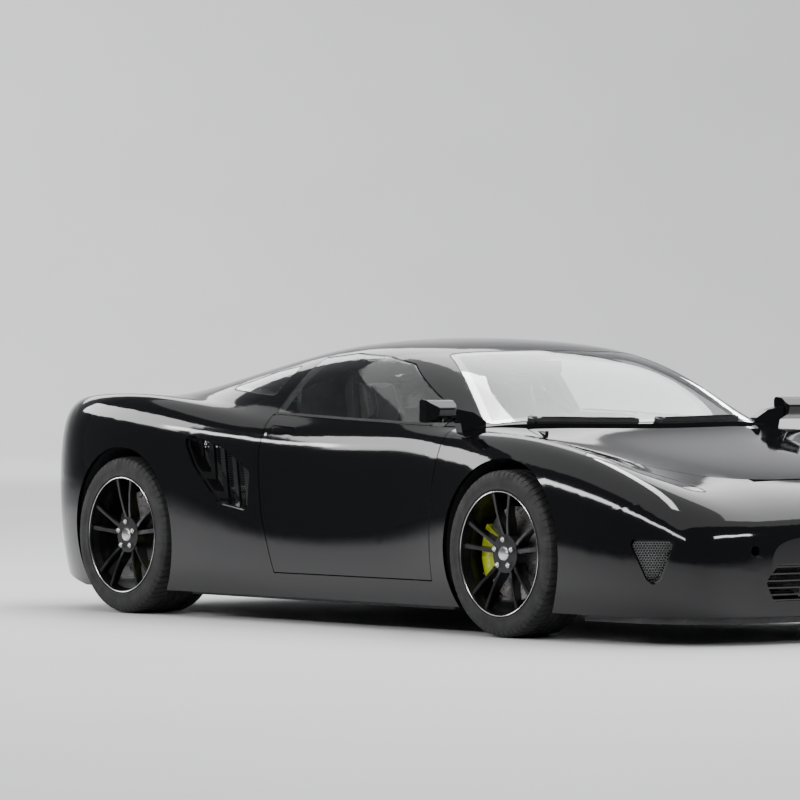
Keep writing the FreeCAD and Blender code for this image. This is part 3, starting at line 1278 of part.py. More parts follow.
# One bucket seat about its own middle: outer side outline, the hollow in it and its front
# outline as (y, z). The pads' side outlines follow, each with its half width.
SEAT_SIDE = ((318, 172), (342, 232), (340, 318), (250, 336), (70, 330), (-40, 400), (-160, 690),
             (-215, 800), (-292, 850), (-345, 1052), (-425, 1052), (-442, 985), (-388, 830),
             (-378, 690), (-192, 230), (-160, 160))
SEAT_HOLLOW = ((420, 262), (300, 262), (-30, 218), (-108, 235), (-138, 290), (-325, 690),
               (-354, 830), (-400, 1110), (420, 1110))
SEAT_HALF_WIDTH = 250.0
SEAT_FRONT = ((-SEAT_HALF_WIDTH, 150), (-SEAT_HALF_WIDTH, 690), (-225, 800), (-140, 880),
              (-118, 1060), (118, 1060), (140, 880), (225, 800), (SEAT_HALF_WIDTH, 690),
              (SEAT_HALF_WIDTH, 150))
SEAT_WALL = 13.0
RUNNER_Y = 185.0
RUNNER_X = (-150.0, 280.0)
RUNNER_HALF_WIDTH = 15.0
PADS = (
    (((318, 240), (326, 318), (240, 334), (0, 312), (-78, 290), (-118, 215)), 230.0, 18.0),
    (((-60, 322), (-105, 300), (-175, 270), (-400, 690), (-330, 800), (-262, 758)), 214.0, 18.0),
    (((-318, 846), (-296, 870), (-338, 1006), (-365, 1022), (-450, 1000), (-400, 840)), 104.0,
     15.0),
)


def seat_shells():
    """Two bucket shells with side bolsters, on their runners."""
    outer = side_prism(SEAT_SIDE, (-SEAT_HALF_WIDTH, SEAT_HALF_WIDTH), 22.0)
    outer = outer.common(front_prism(SEAT_FRONT, (-500, 400), 40.0))
    inner = SEAT_HALF_WIDTH - SEAT_WALL
    shell = biggest(outer.cut(side_prism(SEAT_HOLLOW, (-inner, inner))))
    for side in (-1, 1):
        y = side * RUNNER_Y
        shell = shell.fuse(box(RUNNER_X, (y - RUNNER_HALF_WIDTH, y + RUNNER_HALF_WIDTH),
                               (FLOOR_Z + FLOOR_DEPTH, 176)))
    return Part.makeCompound([moved(shell, y=-DRIVER_Y), moved(shell, y=DRIVER_Y)])


def seat_cushions():
    """Seat, back and head pads of both seats, resting in their shells."""
    inner = SEAT_HALF_WIDTH - SEAT_WALL - SEAT_CLEARANCE
    room = side_prism(shifted_outline(SEAT_HOLLOW, -SEAT_CLEARANCE), (-inner, inner))
    room = room.common(front_prism(SEAT_FRONT, (-500, 400), 40.0))
    pads = []
    for outline, half_width, radius in PADS:
        pad = biggest(side_prism(outline, (-half_width, half_width), radius).common(room))
        pads += [moved(pad, y=-DRIVER_Y), moved(pad, y=DRIVER_Y)]
    return Part.makeCompound(pads)


def centre_console():
    """Tunnel between the seats, rising to the dashboard."""
    profile = ((-500, FLOOR_Z + 30), (-500, 400), (-250, 400), (100, 340), (420, 392),
               (560, 380), (700, FLOOR_Z + 30))
    return side_prism(profile, (-95, 95), 25.0)


# Mirror head as (x, z) seen from the side, its limits in y, and the arm as (y, z)
MIRROR_HEAD = ((774, 868), (770, 945), (788, 960), (830, 955), (866, 925), (862, 885), (820, 864))
MIRROR_Y = (-1030.0, -895.0)
MIRROR_ARM = ((-915, 888), (-900, 922), (-800, 905), (-735, 870), (-735, 780), (-850, 780),
              (-868, 862))
MIRROR_ARM_X = (806.0, 846.0)
MIRROR_GLASS_RECESS = 8.0


def side_mirrors():
    """Mirror heads on arms that grow from the foot of the windscreen posts."""
    head = side_prism(MIRROR_HEAD, MIRROR_Y, 16.0)
    plan = plan_prism(((760, -1030), (835, -1030), (868, -985), (868, -895), (760, -895)),
                      (800, 1000), 25.0)
    head = head.common(plan)
    recess = box((700, 772 + MIRROR_GLASS_RECESS), (MIRROR_Y[0] + 12, MIRROR_Y[1] - 12),
                 (880, 946))
    arm = front_prism(MIRROR_ARM, MIRROR_ARM_X, 8.0).cut(OUTER)
    return both_sides(biggest(head.cut(recess).fuse(arm)))


def interior_mirror():
    """Rear-view mirror hung from the windscreen header."""
    glass = box((270, 292), (-120, 120), (1058, 1112))
    glass = glass.makeFillet(9.0, glass.Edges)
    stalk = cylinder(7.0, point(284, 0, 1100), AXIS_Z, 200.0)
    stalk = stalk.common(ROOF_CORE)
    return glass.fuse(stalk)


WIPER_X = 978.0
WIPER_BOW = 0.00024
WIPER_HEIGHT = 15.0
WIPER_STEPS = 4
# Ends in y of the two blades; each pivots near its first end
WIPER_SPANS = ((-560.0, -30.0), (60.0, 590.0))


def wipers():
    """Two parked blades with their pivots."""
    above = moved(OUTER, z=WIPER_HEIGHT).cut(moved(OUTER, z=SEAT_CLEARANCE))
    blades = []
    for y0, y1 in WIPER_SPANS:
        ahead = []
        behind = []
        for i in range(WIPER_STEPS + 1):
            y = y0 + (y1 - y0) * i / WIPER_STEPS
            x = WIPER_X - WIPER_BOW * y * y
            ahead.append((x + 5, y))
            behind.append((x - 5, y))
        blade = above.common(plan_prism(ahead + list(reversed(behind)), (600, SKY)))
        pivot = above.common(cylinder(16.0, point(WIPER_X - WIPER_BOW * y0 * y0, y0 + 20, 600),
                                      AXIS_Z, 600.0))
        blades.append(biggest(blade.fuse(pivot)))
    return Part.makeCompound(blades)


def placed_wheel(shape, axle_x, track, radius):
    """A right-hand wheel part moved to its axle."""
    return moved(shape, axle_x, -track / 2.0, radius)


def drive_shaft():
    """Right half shaft from the hub to the gearbox, part of the rear wheel."""
    wheel_y = -REAR_TRACK / 2.0
    hub = cylinder(HUB_BORE, point(REAR_AXLE_X, wheel_y - 40, REAR_TYRE_RADIUS), AXIS_Y, 150.0)
    shaft = cylinder(17.0, point(REAR_AXLE_X, wheel_y + 60, REAR_TYRE_RADIUS), AXIS_Y,
                     -wheel_y - 60 - 190.0)
    cup = cylinder(48.0, point(REAR_AXLE_X, -260.0, REAR_TYRE_RADIUS), AXIS_Y, 260.0 - 171.0)
    return hub.fuse([shaft, cup])


def sub_parts():
    """Every node of the car by name."""
    right_fender = front_fender()
    right_quarter = rear_quarter()
    door = door_body()
    pane = door_glass()
    knuckle = front_knuckle()
    front_rim = placed_wheel(rim(FRONT_TYRE_WIDTH - 6.0, DISC_OFFSET, True), FRONT_AXLE_X,
                             FRONT_TRACK, FRONT_TYRE_RADIUS)
    rear_rim = placed_wheel(rim(REAR_TYRE_WIDTH - 6.0, DISC_OFFSET, False), REAR_AXLE_X, REAR_TRACK,
                            REAR_TYRE_RADIUS).fuse(drive_shaft())
    front_tyre = placed_wheel(tyre(FRONT_TYRE_RADIUS, FRONT_TYRE_WIDTH), FRONT_AXLE_X,
                              FRONT_TRACK, FRONT_TYRE_RADIUS)
    rear_tyre = placed_wheel(tyre(REAR_TYRE_RADIUS, REAR_TYRE_WIDTH), REAR_AXLE_X, REAR_TRACK,
                             REAR_TYRE_RADIUS)
    nodes = {
        "chassis_tub": chassis_tub(),
        "underfloor": underfloor().fuse(front_splitter()),
        "front_bumper": front_bumper(),
        "cowl_panel": cowl_panel(),
        "side_skirts": side_skirts(),
        "rear_bumper": rear_bumper(),
        "rear_diffuser": rear_diffuser(),
        "roof_frame": roof_frame(),
        "bonded_glass": bonded_glass(),
        "headlamps": both_sides(headlamp()),
        "tail_lamps": tail_lamps(),
        "grilles": grilles(),
        "exhaust": exhaust(),
        "engine_block": engine_block(),
        "wheel_liners": wheel_liners(),
        "suspension": suspension(),
        "dashboard": dashboard(),
        "centre_console": centre_console(),
        "seat_shells": seat_shells(),
        "seat_cushions": seat_cushions(),
        "side_mirrors": side_mirrors(),
        "interior_mirror": interior_mirror(),
        "wipers": wipers(),
        "bonnet": bonnet(),
        "engine_cover": engine_cover(),
        "engine_cover_glass": cover_glass(),
        "steering_wheel": steering_wheel(),
    }
    # Pieces that come in a right-hand and a left-hand copy
    pairs = {
        "front_fender": right_fender,
        "rear_quarter": right_quarter,
        "door": door,
        "door_glass": pane,
        "front_knuckle": knuckle,
        "front_wheel": front_rim,
        "rear_wheel": rear_rim,
        "front_tyre": front_tyre,
        "rear_tyre": rear_tyre,
    }
    for name, shape in pairs.items():
        nodes[name + "_right"] = shape
        nodes[name + "_left"] = mirrored(shape)
    return nodes


os.makedirs("parts", exist_ok=True)
for name, shape in sub_parts().items():
    print(name, "solids", len(shape.Solids), "valid", shape.isValid(),
          "litres", round(shape.Volume / 1e6, 2))
    shape.exportStep("parts/" + name + ".step")
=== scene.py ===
import json
import math

import bmesh
import bpy
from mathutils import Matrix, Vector
from mathutils.bvhtree import BVHTree


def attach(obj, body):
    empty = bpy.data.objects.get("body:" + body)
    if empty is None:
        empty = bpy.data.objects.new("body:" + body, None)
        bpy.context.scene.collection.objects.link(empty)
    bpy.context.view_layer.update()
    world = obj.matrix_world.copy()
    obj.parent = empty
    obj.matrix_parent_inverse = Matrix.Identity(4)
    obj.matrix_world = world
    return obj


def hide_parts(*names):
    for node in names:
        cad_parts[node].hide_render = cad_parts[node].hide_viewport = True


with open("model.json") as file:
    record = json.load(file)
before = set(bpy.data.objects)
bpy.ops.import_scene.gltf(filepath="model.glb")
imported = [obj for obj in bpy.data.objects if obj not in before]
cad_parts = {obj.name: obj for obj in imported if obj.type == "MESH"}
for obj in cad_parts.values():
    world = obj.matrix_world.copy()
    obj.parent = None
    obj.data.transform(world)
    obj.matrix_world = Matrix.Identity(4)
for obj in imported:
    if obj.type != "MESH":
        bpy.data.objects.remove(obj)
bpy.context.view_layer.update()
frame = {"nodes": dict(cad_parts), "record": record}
NODES = frame["nodes"]
SIDES = (("right", -1), ("left", 1))
TURN = 2 * math.pi
# The nose points along x and the left side along y
AHEAD = (1, 0, 0)
LEFT, RIGHT = (0, 1, 0), (0, -1, 0)
UP, DOWN = (0, 0, 1), (0, 0, -1)
# Points nearer to each other than this are one
WELD = 0.00001

# Driving dimensions, in metres
FRONT_AXLE_X = 1.21
REAR_AXLE_X = -1.44
WHEELS = {
    "front": {"x": FRONT_AXLE_X, "track": 1.679, "radius": 0.340, "width": 0.245, "way": -1},
    "rear": {"x": REAR_AXLE_X, "track": 1.647, "radius": 0.3455, "width": 0.305, "way": 1},
}
RIM_RADIUS = 0.254
DRIVER_Y = 0.365
WHEEL_CENTRE = Vector((0.335, DRIVER_Y, 0.690))
COLUMN_TILT = math.radians(24.0)
FLOOR_TOP = 0.142

# Camera: the photograph's place and lens
CAMERA_HEADING = math.radians(52.5)
CAMERA_DISTANCE = 24.2
CAMERA_HEIGHT = 1.19
FOCAL_PIXELS = 5620.0
PHOTO_SIZE = 800.0
HORIZON_PIXEL = 343.0
CENTRE_PIXEL = 498.0
SENSOR = 36.0
CAMERA_RIGHT = Vector((math.cos(CAMERA_HEADING), math.sin(CAMERA_HEADING), 0))
CAMERA_AHEAD = Vector((-math.sin(CAMERA_HEADING), math.cos(CAMERA_HEADING), 0))

# The floor: how far it reaches to each side, ahead of and behind the car, and its bend upwards
FLOOR_HALF = 60.0
FLOOR_AHEAD = 34.0
FLOOR_BEHIND = 40.0
FLOOR_BEND = 10.0
FLOOR_BEND_STEPS = 16
FLOOR_HEIGHT = 40.0


def link(obj):
    bpy.context.scene.collection.objects.link(obj)
    return obj


def make_camera():
    """The camera at the photograph's viewing angle."""
    pitch = math.atan((PHOTO_SIZE / 2 - HORIZON_PIXEL) / FOCAL_PIXELS)
    forward = Vector((-math.sin(CAMERA_HEADING) * math.cos(pitch),
                      math.cos(CAMERA_HEADING) * math.cos(pitch), -math.sin(pitch)))
    shift = (CENTRE_PIXEL - PHOTO_SIZE / 2) / FOCAL_PIXELS * CAMERA_DISTANCE
    place = -forward * CAMERA_DISTANCE - CAMERA_RIGHT * shift
    place.z = CAMERA_HEIGHT
    data = bpy.data.cameras.new("camera")
    data.sensor_width = SENSOR
    data.lens = FOCAL_PIXELS / PHOTO_SIZE * SENSOR
    data.clip_end = 200
    camera = link(bpy.data.objects.new("camera", data))
    camera.location = place
    camera.rotation_mode = "QUATERNION"
    camera.rotation_quaternion = forward.to_track_quat("-Z", "Y")
    bpy.context.scene.camera = camera


# Materials

def new_material(name):
    material = bpy.data.materials.new(name)
    material.use_nodes = True
    return material, material.node_tree.nodes, material.node_tree.links


def texture(nodes, links, kind, scale, detail=4.0, stretch=None):
    """A procedural texture in the object's own coordinates, in metres."""
    place = nodes.new("ShaderNodeTexCoord").outputs["Object"]
    if stretch:
        mapping = nodes.new("ShaderNodeMapping")
        mapping.inputs["Scale"].default_value = stretch
        links.new(place, mapping.inputs["Vector"])
        place = mapping.outputs["Vector"]
    node = nodes.new("ShaderNodeTexVoronoi" if kind == "cells" else "ShaderNodeTexNoise")
    node.inputs["Scale"].default_value = scale
    if kind != "cells":
        node.inputs["Detail"].default_value = detail
    links.new(place, node.inputs["Vector"])
    return node.outputs["Distance" if kind == "cells" else "Fac"]


def ranged(nodes, links, value, low, high, start=0.3, end=0.7):
    """A texture value moved to a new range."""
    node = nodes.new("ShaderNodeMapRange")
    for socket, number in (("From Min", start), ("From Max", end), ("To Min", low),
                           ("To Max", high)):
        node.inputs[socket].default_value = number
    links.new(value, node.inputs["Value"])
    return node.outputs["Result"]


def surface(name, colour, roughness, metallic=0.0, coat=0.0, coat_roughness=0.03, tint=0.0,
            tint_scale=6.0, spread=0.0, spread_scale=20.0, bumps=(), sheen=0.0, specular=0.5,
            stretch=None):
    """A surface whose colour and roughness vary, with bumps of (kind, scale, strength, depth)."""
    material, nodes, links = new_material(name)
    shader = nodes["Principled BSDF"]
    for socket, value in (("Base Color", (*colour, 1)), ("Roughness", roughness),
                          ("Metallic", metallic), ("Coat Weight", coat),
                          ("Coat Roughness", coat_roughness), ("Sheen Weight", sheen),
                          ("Specular IOR Level", specular)):
        shader.inputs[socket].default_value = value
    if tint:
        ramp = nodes.new("ShaderNodeValToRGB")
        low = [channel * (1 - tint) for channel in colour]
        high = [min(1.0, channel * (1 + tint) + 0.004 * tint) for channel in colour]
        for element, place, shade in zip(ramp.color_ramp.elements, (0.3, 0.7), (low, high)):
            element.position = place
            element.color = (*shade, 1)
        links.new(texture(nodes, links, "noise", tint_scale, stretch=stretch), ramp.inputs["Fac"])
        links.new(ramp.outputs["Color"], shader.inputs["Base Color"])
    if spread:
        grain = texture(nodes, links, "noise", spread_scale, stretch=stretch)
        links.new(ranged(nodes, links, grain, roughness - spread, roughness + spread),
                  shader.inputs["Roughness"])
    normal = None
    for kind, scale, strength, depth in bumps:
        bump = nodes.new("ShaderNodeBump")
        bump.inputs["Strength"].default_value = strength
        bump.inputs["Distance"].default_value = depth
        links.new(texture(nodes, links, kind, scale, stretch=stretch), bump.inputs["Height"])
        if normal:
            links.new(normal, bump.inputs["Normal"])
        normal = bump.outputs["Normal"]
    if normal:
        links.new(normal, shader.inputs["Normal"])
    return material


def glass(name, colour, roughness=0.0, haze=0.0, ior=1.45):
    """Clear glass that shows what is behind it and lets the lamps' light through."""
    material, nodes, links = new_material(name)
    shader = nodes["Principled BSDF"]
    shader.inputs["Base Color"].default_value = (*colour, 1)
    shader.inputs["Roughness"].default_value = roughness
    shader.inputs["Transmission Weight"].default_value = 1.0
    shader.inputs["IOR"].default_value = ior
    if haze:
        dust = texture(nodes, links, "noise", 9.0)
        links.new(ranged(nodes, links, dust, roughness, roughness + haze),
                  shader.inputs["Roughness"])
    passing = nodes.new("ShaderNodeBsdfTransparent")
    passing.inputs["Color"].default_value = (*colour, 1)
    mix = nodes.new("ShaderNodeMixShader")
    links.new(nodes.new("ShaderNodeLightPath").outputs["Is Shadow Ray"], mix.inputs["Fac"])
    links.new(shader.outputs["BSDF"], mix.inputs[1])
    links.new(passing.outputs["BSDF"], mix.inputs[2])
    links.new(mix.outputs["Shader"], nodes["Material Output"].inputs["Surface"])
    return material


# Each finish with the record's material slot that it belongs to
FINISHES = {
    "paint": ("body_paint", surface(
        "black_paint", (0.0022, 0.0022, 0.0028), 0.35, coat=1.0, coat_roughness=0.06, tint=0.4,
        tint_scale=1100.0, spread=0.05, spread_scale=3.0, specular=0.0)),
    "plastic": ("black_plastic", surface(
        "black_plastic", (0.014, 0.014, 0.015), 0.55, tint=0.25, tint_scale=14.0, spread=0.08,
        bumps=(("cells", 900.0, 0.25, 0.0004),))),
    "gloss_plastic": ("black_plastic", surface(
        "gloss_black_plastic", (0.006, 0.006, 0.007), 0.14, coat=0.5, tint=0.2, tint_scale=30.0,
        spread=0.03)),
    "dark_metal": ("dark_metal", surface(
        "dark_coated_metal", (0.040, 0.040, 0.042), 0.50, 0.6, tint=0.3, tint_scale=12.0,
        spread=0.1, bumps=(("noise", 260.0, 0.2, 0.0005),))),
    "alloy": ("wheel_alloy", surface(
        "dark_satin_alloy", (0.022, 0.022, 0.024), 0.32, 0.85, coat=0.35, coat_roughness=0.1,
        tint=0.15, tint_scale=25.0, spread=0.05, bumps=(("noise", 700.0, 0.05, 0.0002),))),
    "bright": ("exhaust_steel", surface(
        "machined_alloy", (0.62, 0.62, 0.61), 0.20, 1.0, tint=0.06, tint_scale=300.0, spread=0.03,
        spread_scale=500.0)),
    "steel": ("exhaust_steel", surface(
        "brushed_steel", (0.30, 0.30, 0.30), 0.34, 1.0, tint=0.08, tint_scale=400.0, spread=0.04,
        spread_scale=600.0, stretch=(1, 1, 12))),
    "satin": ("dark_metal", surface(
        "satin_dark_alloy", (0.085, 0.085, 0.088), 0.38, 0.9, tint=0.1, tint_scale=350.0,
        spread=0.04, spread_scale=420.0)),
    "disc": ("dark_metal", surface(
        "brake_disc_iron", (0.26, 0.25, 0.24), 0.36, 1.0, tint=0.2, tint_scale=40.0, spread=0.12,
        spread_scale=120.0, bumps=(("noise", 900.0, 0.08, 0.0002),))),
    "calliper": ("dark_metal", surface(
        "yellow_green_enamel", (0.42, 0.50, 0.015), 0.32, coat=0.8, tint=0.12, tint_scale=30.0,
        spread=0.05, bumps=(("noise", 300.0, 0.05, 0.0004),))),
    "cast": ("engine_alloy", surface(
        "cast_alloy", (0.28, 0.28, 0.28), 0.55, 0.9, tint=0.3, tint_scale=10.0, spread=0.12,
        bumps=(("noise", 180.0, 0.35, 0.001),))),
    "crackle": ("engine_alloy", surface(
        "crackle_enamel", (0.11, 0.012, 0.010), 0.5, tint=0.3, tint_scale=40.0, spread=0.1,
        bumps=(("cells", 520.0, 0.6, 0.0006),))),
    "leather": ("black_leather", surface(
        "black_leather", (0.030, 0.029, 0.028), 0.46, tint=0.3, tint_scale=7.0, spread=0.08,
        bumps=(("cells", 420.0, 0.35, 0.0006), ("noise", 60.0, 0.15, 0.002)))),
    "suede": ("black_leather", surface(
        "dark_suede", (0.034, 0.033, 0.034), 0.92, tint=0.4, tint_scale=9.0, sheen=0.35,
        bumps=(("noise", 900.0, 0.3, 0.0005),))),
    "thread": ("black_leather", surface(
        "grey_thread", (0.20, 0.20, 0.20), 0.7, tint=0.2, tint_scale=300.0)),
    "carpet": ("black_leather", surface(
        "black_carpet", (0.012, 0.012, 0.013), 0.95, tint=0.5, tint_scale=220.0, sheen=0.3,
        bumps=(("noise", 750.0, 0.9, 0.002),))),
    "webbing": ("black_leather", surface(
        "belt_webbing", (0.015, 0.015, 0.016), 0.65, tint=0.2, tint_scale=60.0,
        bumps=(("noise", 1100.0, 0.5, 0.0005),), stretch=(1, 6, 1))),
    "rubber": ("tyre_rubber", surface(
        "tyre_rubber", (0.012, 0.012, 0.012), 0.74, tint=0.35, tint_scale=18.0, spread=0.1,
        bumps=(("noise", 500.0, 0.15, 0.0004),))),
    # Near-black rubber for the seals, also used for the dark marks of painted shade in holes,
    # slots, gaps and cup holders.
    "seal": ("tyre_rubber", surface(
        "seal_rubber_and_painted_shade", (0.006, 0.006, 0.006), 0.6, tint=0.2, tint_scale=50.0, spread=0.08)),
    "frit": ("black_plastic", surface(
        "black_glass_border", (0.003, 0.003, 0.003), 0.09, coat=0.6, tint=0.2, tint_scale=90.0)),
    "red_lens": ("lamp_red", glass("red_lens", (0.75, 0.018, 0.012), 0.03, haze=0.03)),
    "red_glow": ("lamp_red", surface(
        "red_light_guide", (0.45, 0.010, 0.008), 0.25, coat=0.6, tint=0.2, tint_scale=200.0)),
    "chrome": ("exhaust_steel", surface(
        "lamp_chrome", (0.80, 0.81, 0.82), 0.06, 1.0, tint=0.04, tint_scale=30.0)),
    "mirror": ("clear_glass", surface(
        "mirror_silver", (0.82, 0.83, 0.85), 0.015, 1.0, tint=0.02, tint_scale=12.0)),
    "guide": ("lamp_glass", surface(
        "milky_light_guide", (0.62, 0.64, 0.66), 0.25, coat=0.5, tint=0.05, tint_scale=200.0)),
    "screen": ("black_plastic", surface(
        "screen_glass", (0.004, 0.005, 0.007), 0.08, coat=0.6, tint=0.3, tint_scale=18.0)),
    "dial": ("black_plastic", surface(
        "dial_face", (0.010, 0.010, 0.011), 0.4, tint=0.2, tint_scale=80.0)),
    "marks": ("black_plastic", surface(
        "white_marks", (0.70, 0.70, 0.68), 0.5, tint=0.05, tint_scale=90.0)),
    "glass": ("clear_glass", glass("clear_glass", (0.88, 0.91, 0.90), haze=0.01)),
    "lamp_glass": ("lamp_glass", glass("lamp_glass", (0.93, 0.94, 0.96), haze=0.02)),
}

SLOT_FINISH = {
    "body_paint": "paint",
    "clear_glass": "glass",
    "lamp_glass": "lamp_glass",
    "lamp_red": "red_lens",
    "black_plastic": "plastic",
    "dark_metal": "dark_metal",
    "wheel_alloy": "alloy",
    "exhaust_steel": "steel",
    "engine_alloy": "cast",
    "black_leather": "leather",
    "tyre_rubber": "rubber",
}
# Nodes whose finish differs from their slot's usual one
NODE_FINISH = {
    "grilles": "gloss_plastic",
    "cowl_panel": "plastic",
    "dashboard": "leather",
    "centre_console": "leather",
    "interior_mirror": "gloss_plastic",
}


def finish_nodes():
    """Gives every CAD node its finish."""
    for part in frame["record"]["subparts"]:
        finish = NODE_FINISH.get(part["node"], SLOT_FINISH[part["material_slot"]])
        slots = NODES[part["node"]].data.materials
        slots.clear()
        slots.append(FINISHES[finish][1])


# Studio

def make_floor():
    """A pale floor that sweeps up beyond the car."""
    profile = [(-FLOOR_BEHIND, 0.0), (FLOOR_AHEAD, 0.0)]
    for i in range(1, FLOOR_BEND_STEPS + 1):
        angle = math.pi / 2 * i / FLOOR_BEND_STEPS
        profile.append((FLOOR_AHEAD + FLOOR_BEND * math.sin(angle),
                        FLOOR_BEND * (1 - math.cos(angle))))
    profile.append((FLOOR_AHEAD + FLOOR_BEND, FLOOR_HEIGHT))
    vertices = [CAMERA_AHEAD * along + CAMERA_RIGHT * side + Vector((0, 0, z))
                for side in (-FLOOR_HALF, FLOOR_HALF) for along, z in profile]
    count = len(profile)
    mesh = bpy.data.meshes.new("floor")
    mesh.from_pydata(vertices, [], [(i, i + 1, count + i + 1, count + i)
                                    for i in range(count - 1)])
    mesh.shade_smooth()
    floor = link(bpy.data.objects.new("floor", mesh))
    floor.data.materials.append(surface("pale_floor", (0.60, 0.60, 0.61), 0.62, tint=0.02,
                                        tint_scale=0.6))


def area_light(name, place, target, size, power):
    data = bpy.data.lights.new(name, "AREA")
    data.shape = "RECTANGLE"
    data.size, data.size_y = size
    data.energy = power
    lamp = link(bpy.data.objects.new(name, data))
    lamp.location = place
    lamp.rotation_mode = "QUATERNION"
    lamp.rotation_quaternion = (Vector(target) - Vector(place)).to_track_quat("-Z", "Y")


def make_light():
    """Soft strips over and beside the car in a dim room."""
    world = bpy.data.worlds.new("studio")
    bpy.context.scene.world = world
    world.use_nodes = True
    sky = world.node_tree.nodes["Background"].inputs
    sky["Color"].default_value = (0.72, 0.75, 0.8, 1)
    sky["Strength"].default_value = 0.16
    for name, place, target, size, power in (
            ("overhead", (0.3, 0.4, 6.5), (0, 0, 0), (8.0, 0.9), 460),
            ("right_strip", (0.0, -9.5, 5.0), (0.0, 0, 0.5), (24.0, 0.5), 820),
            ("left_side", (-2, 9, 4), (0, 0, 0.6), (8, 0.8), 340),
            ("rear", (-9, -4, 4), (0, 0, 0.6), (6, 1.6), 260),
            ("front", (10, 2, 3.5), (0, 0, 0.5), (4, 0.5), 180),
            ("ceiling", (0, 0, 10.5), (0, 0, 0), (26, 26), 1900),
            ("middle_distance", CAMERA_AHEAD * 19 + Vector((0, 0, 13)), CAMERA_AHEAD * 19,
             (50, 12), 6500),
            ("backdrop", CAMERA_AHEAD * 26 + Vector((0, 0, 12)),
             CAMERA_AHEAD * 43 + Vector((0, 0, 5)), (50, 6), 5200)):
        area_light(name, place, target, size, power)


# Building tools

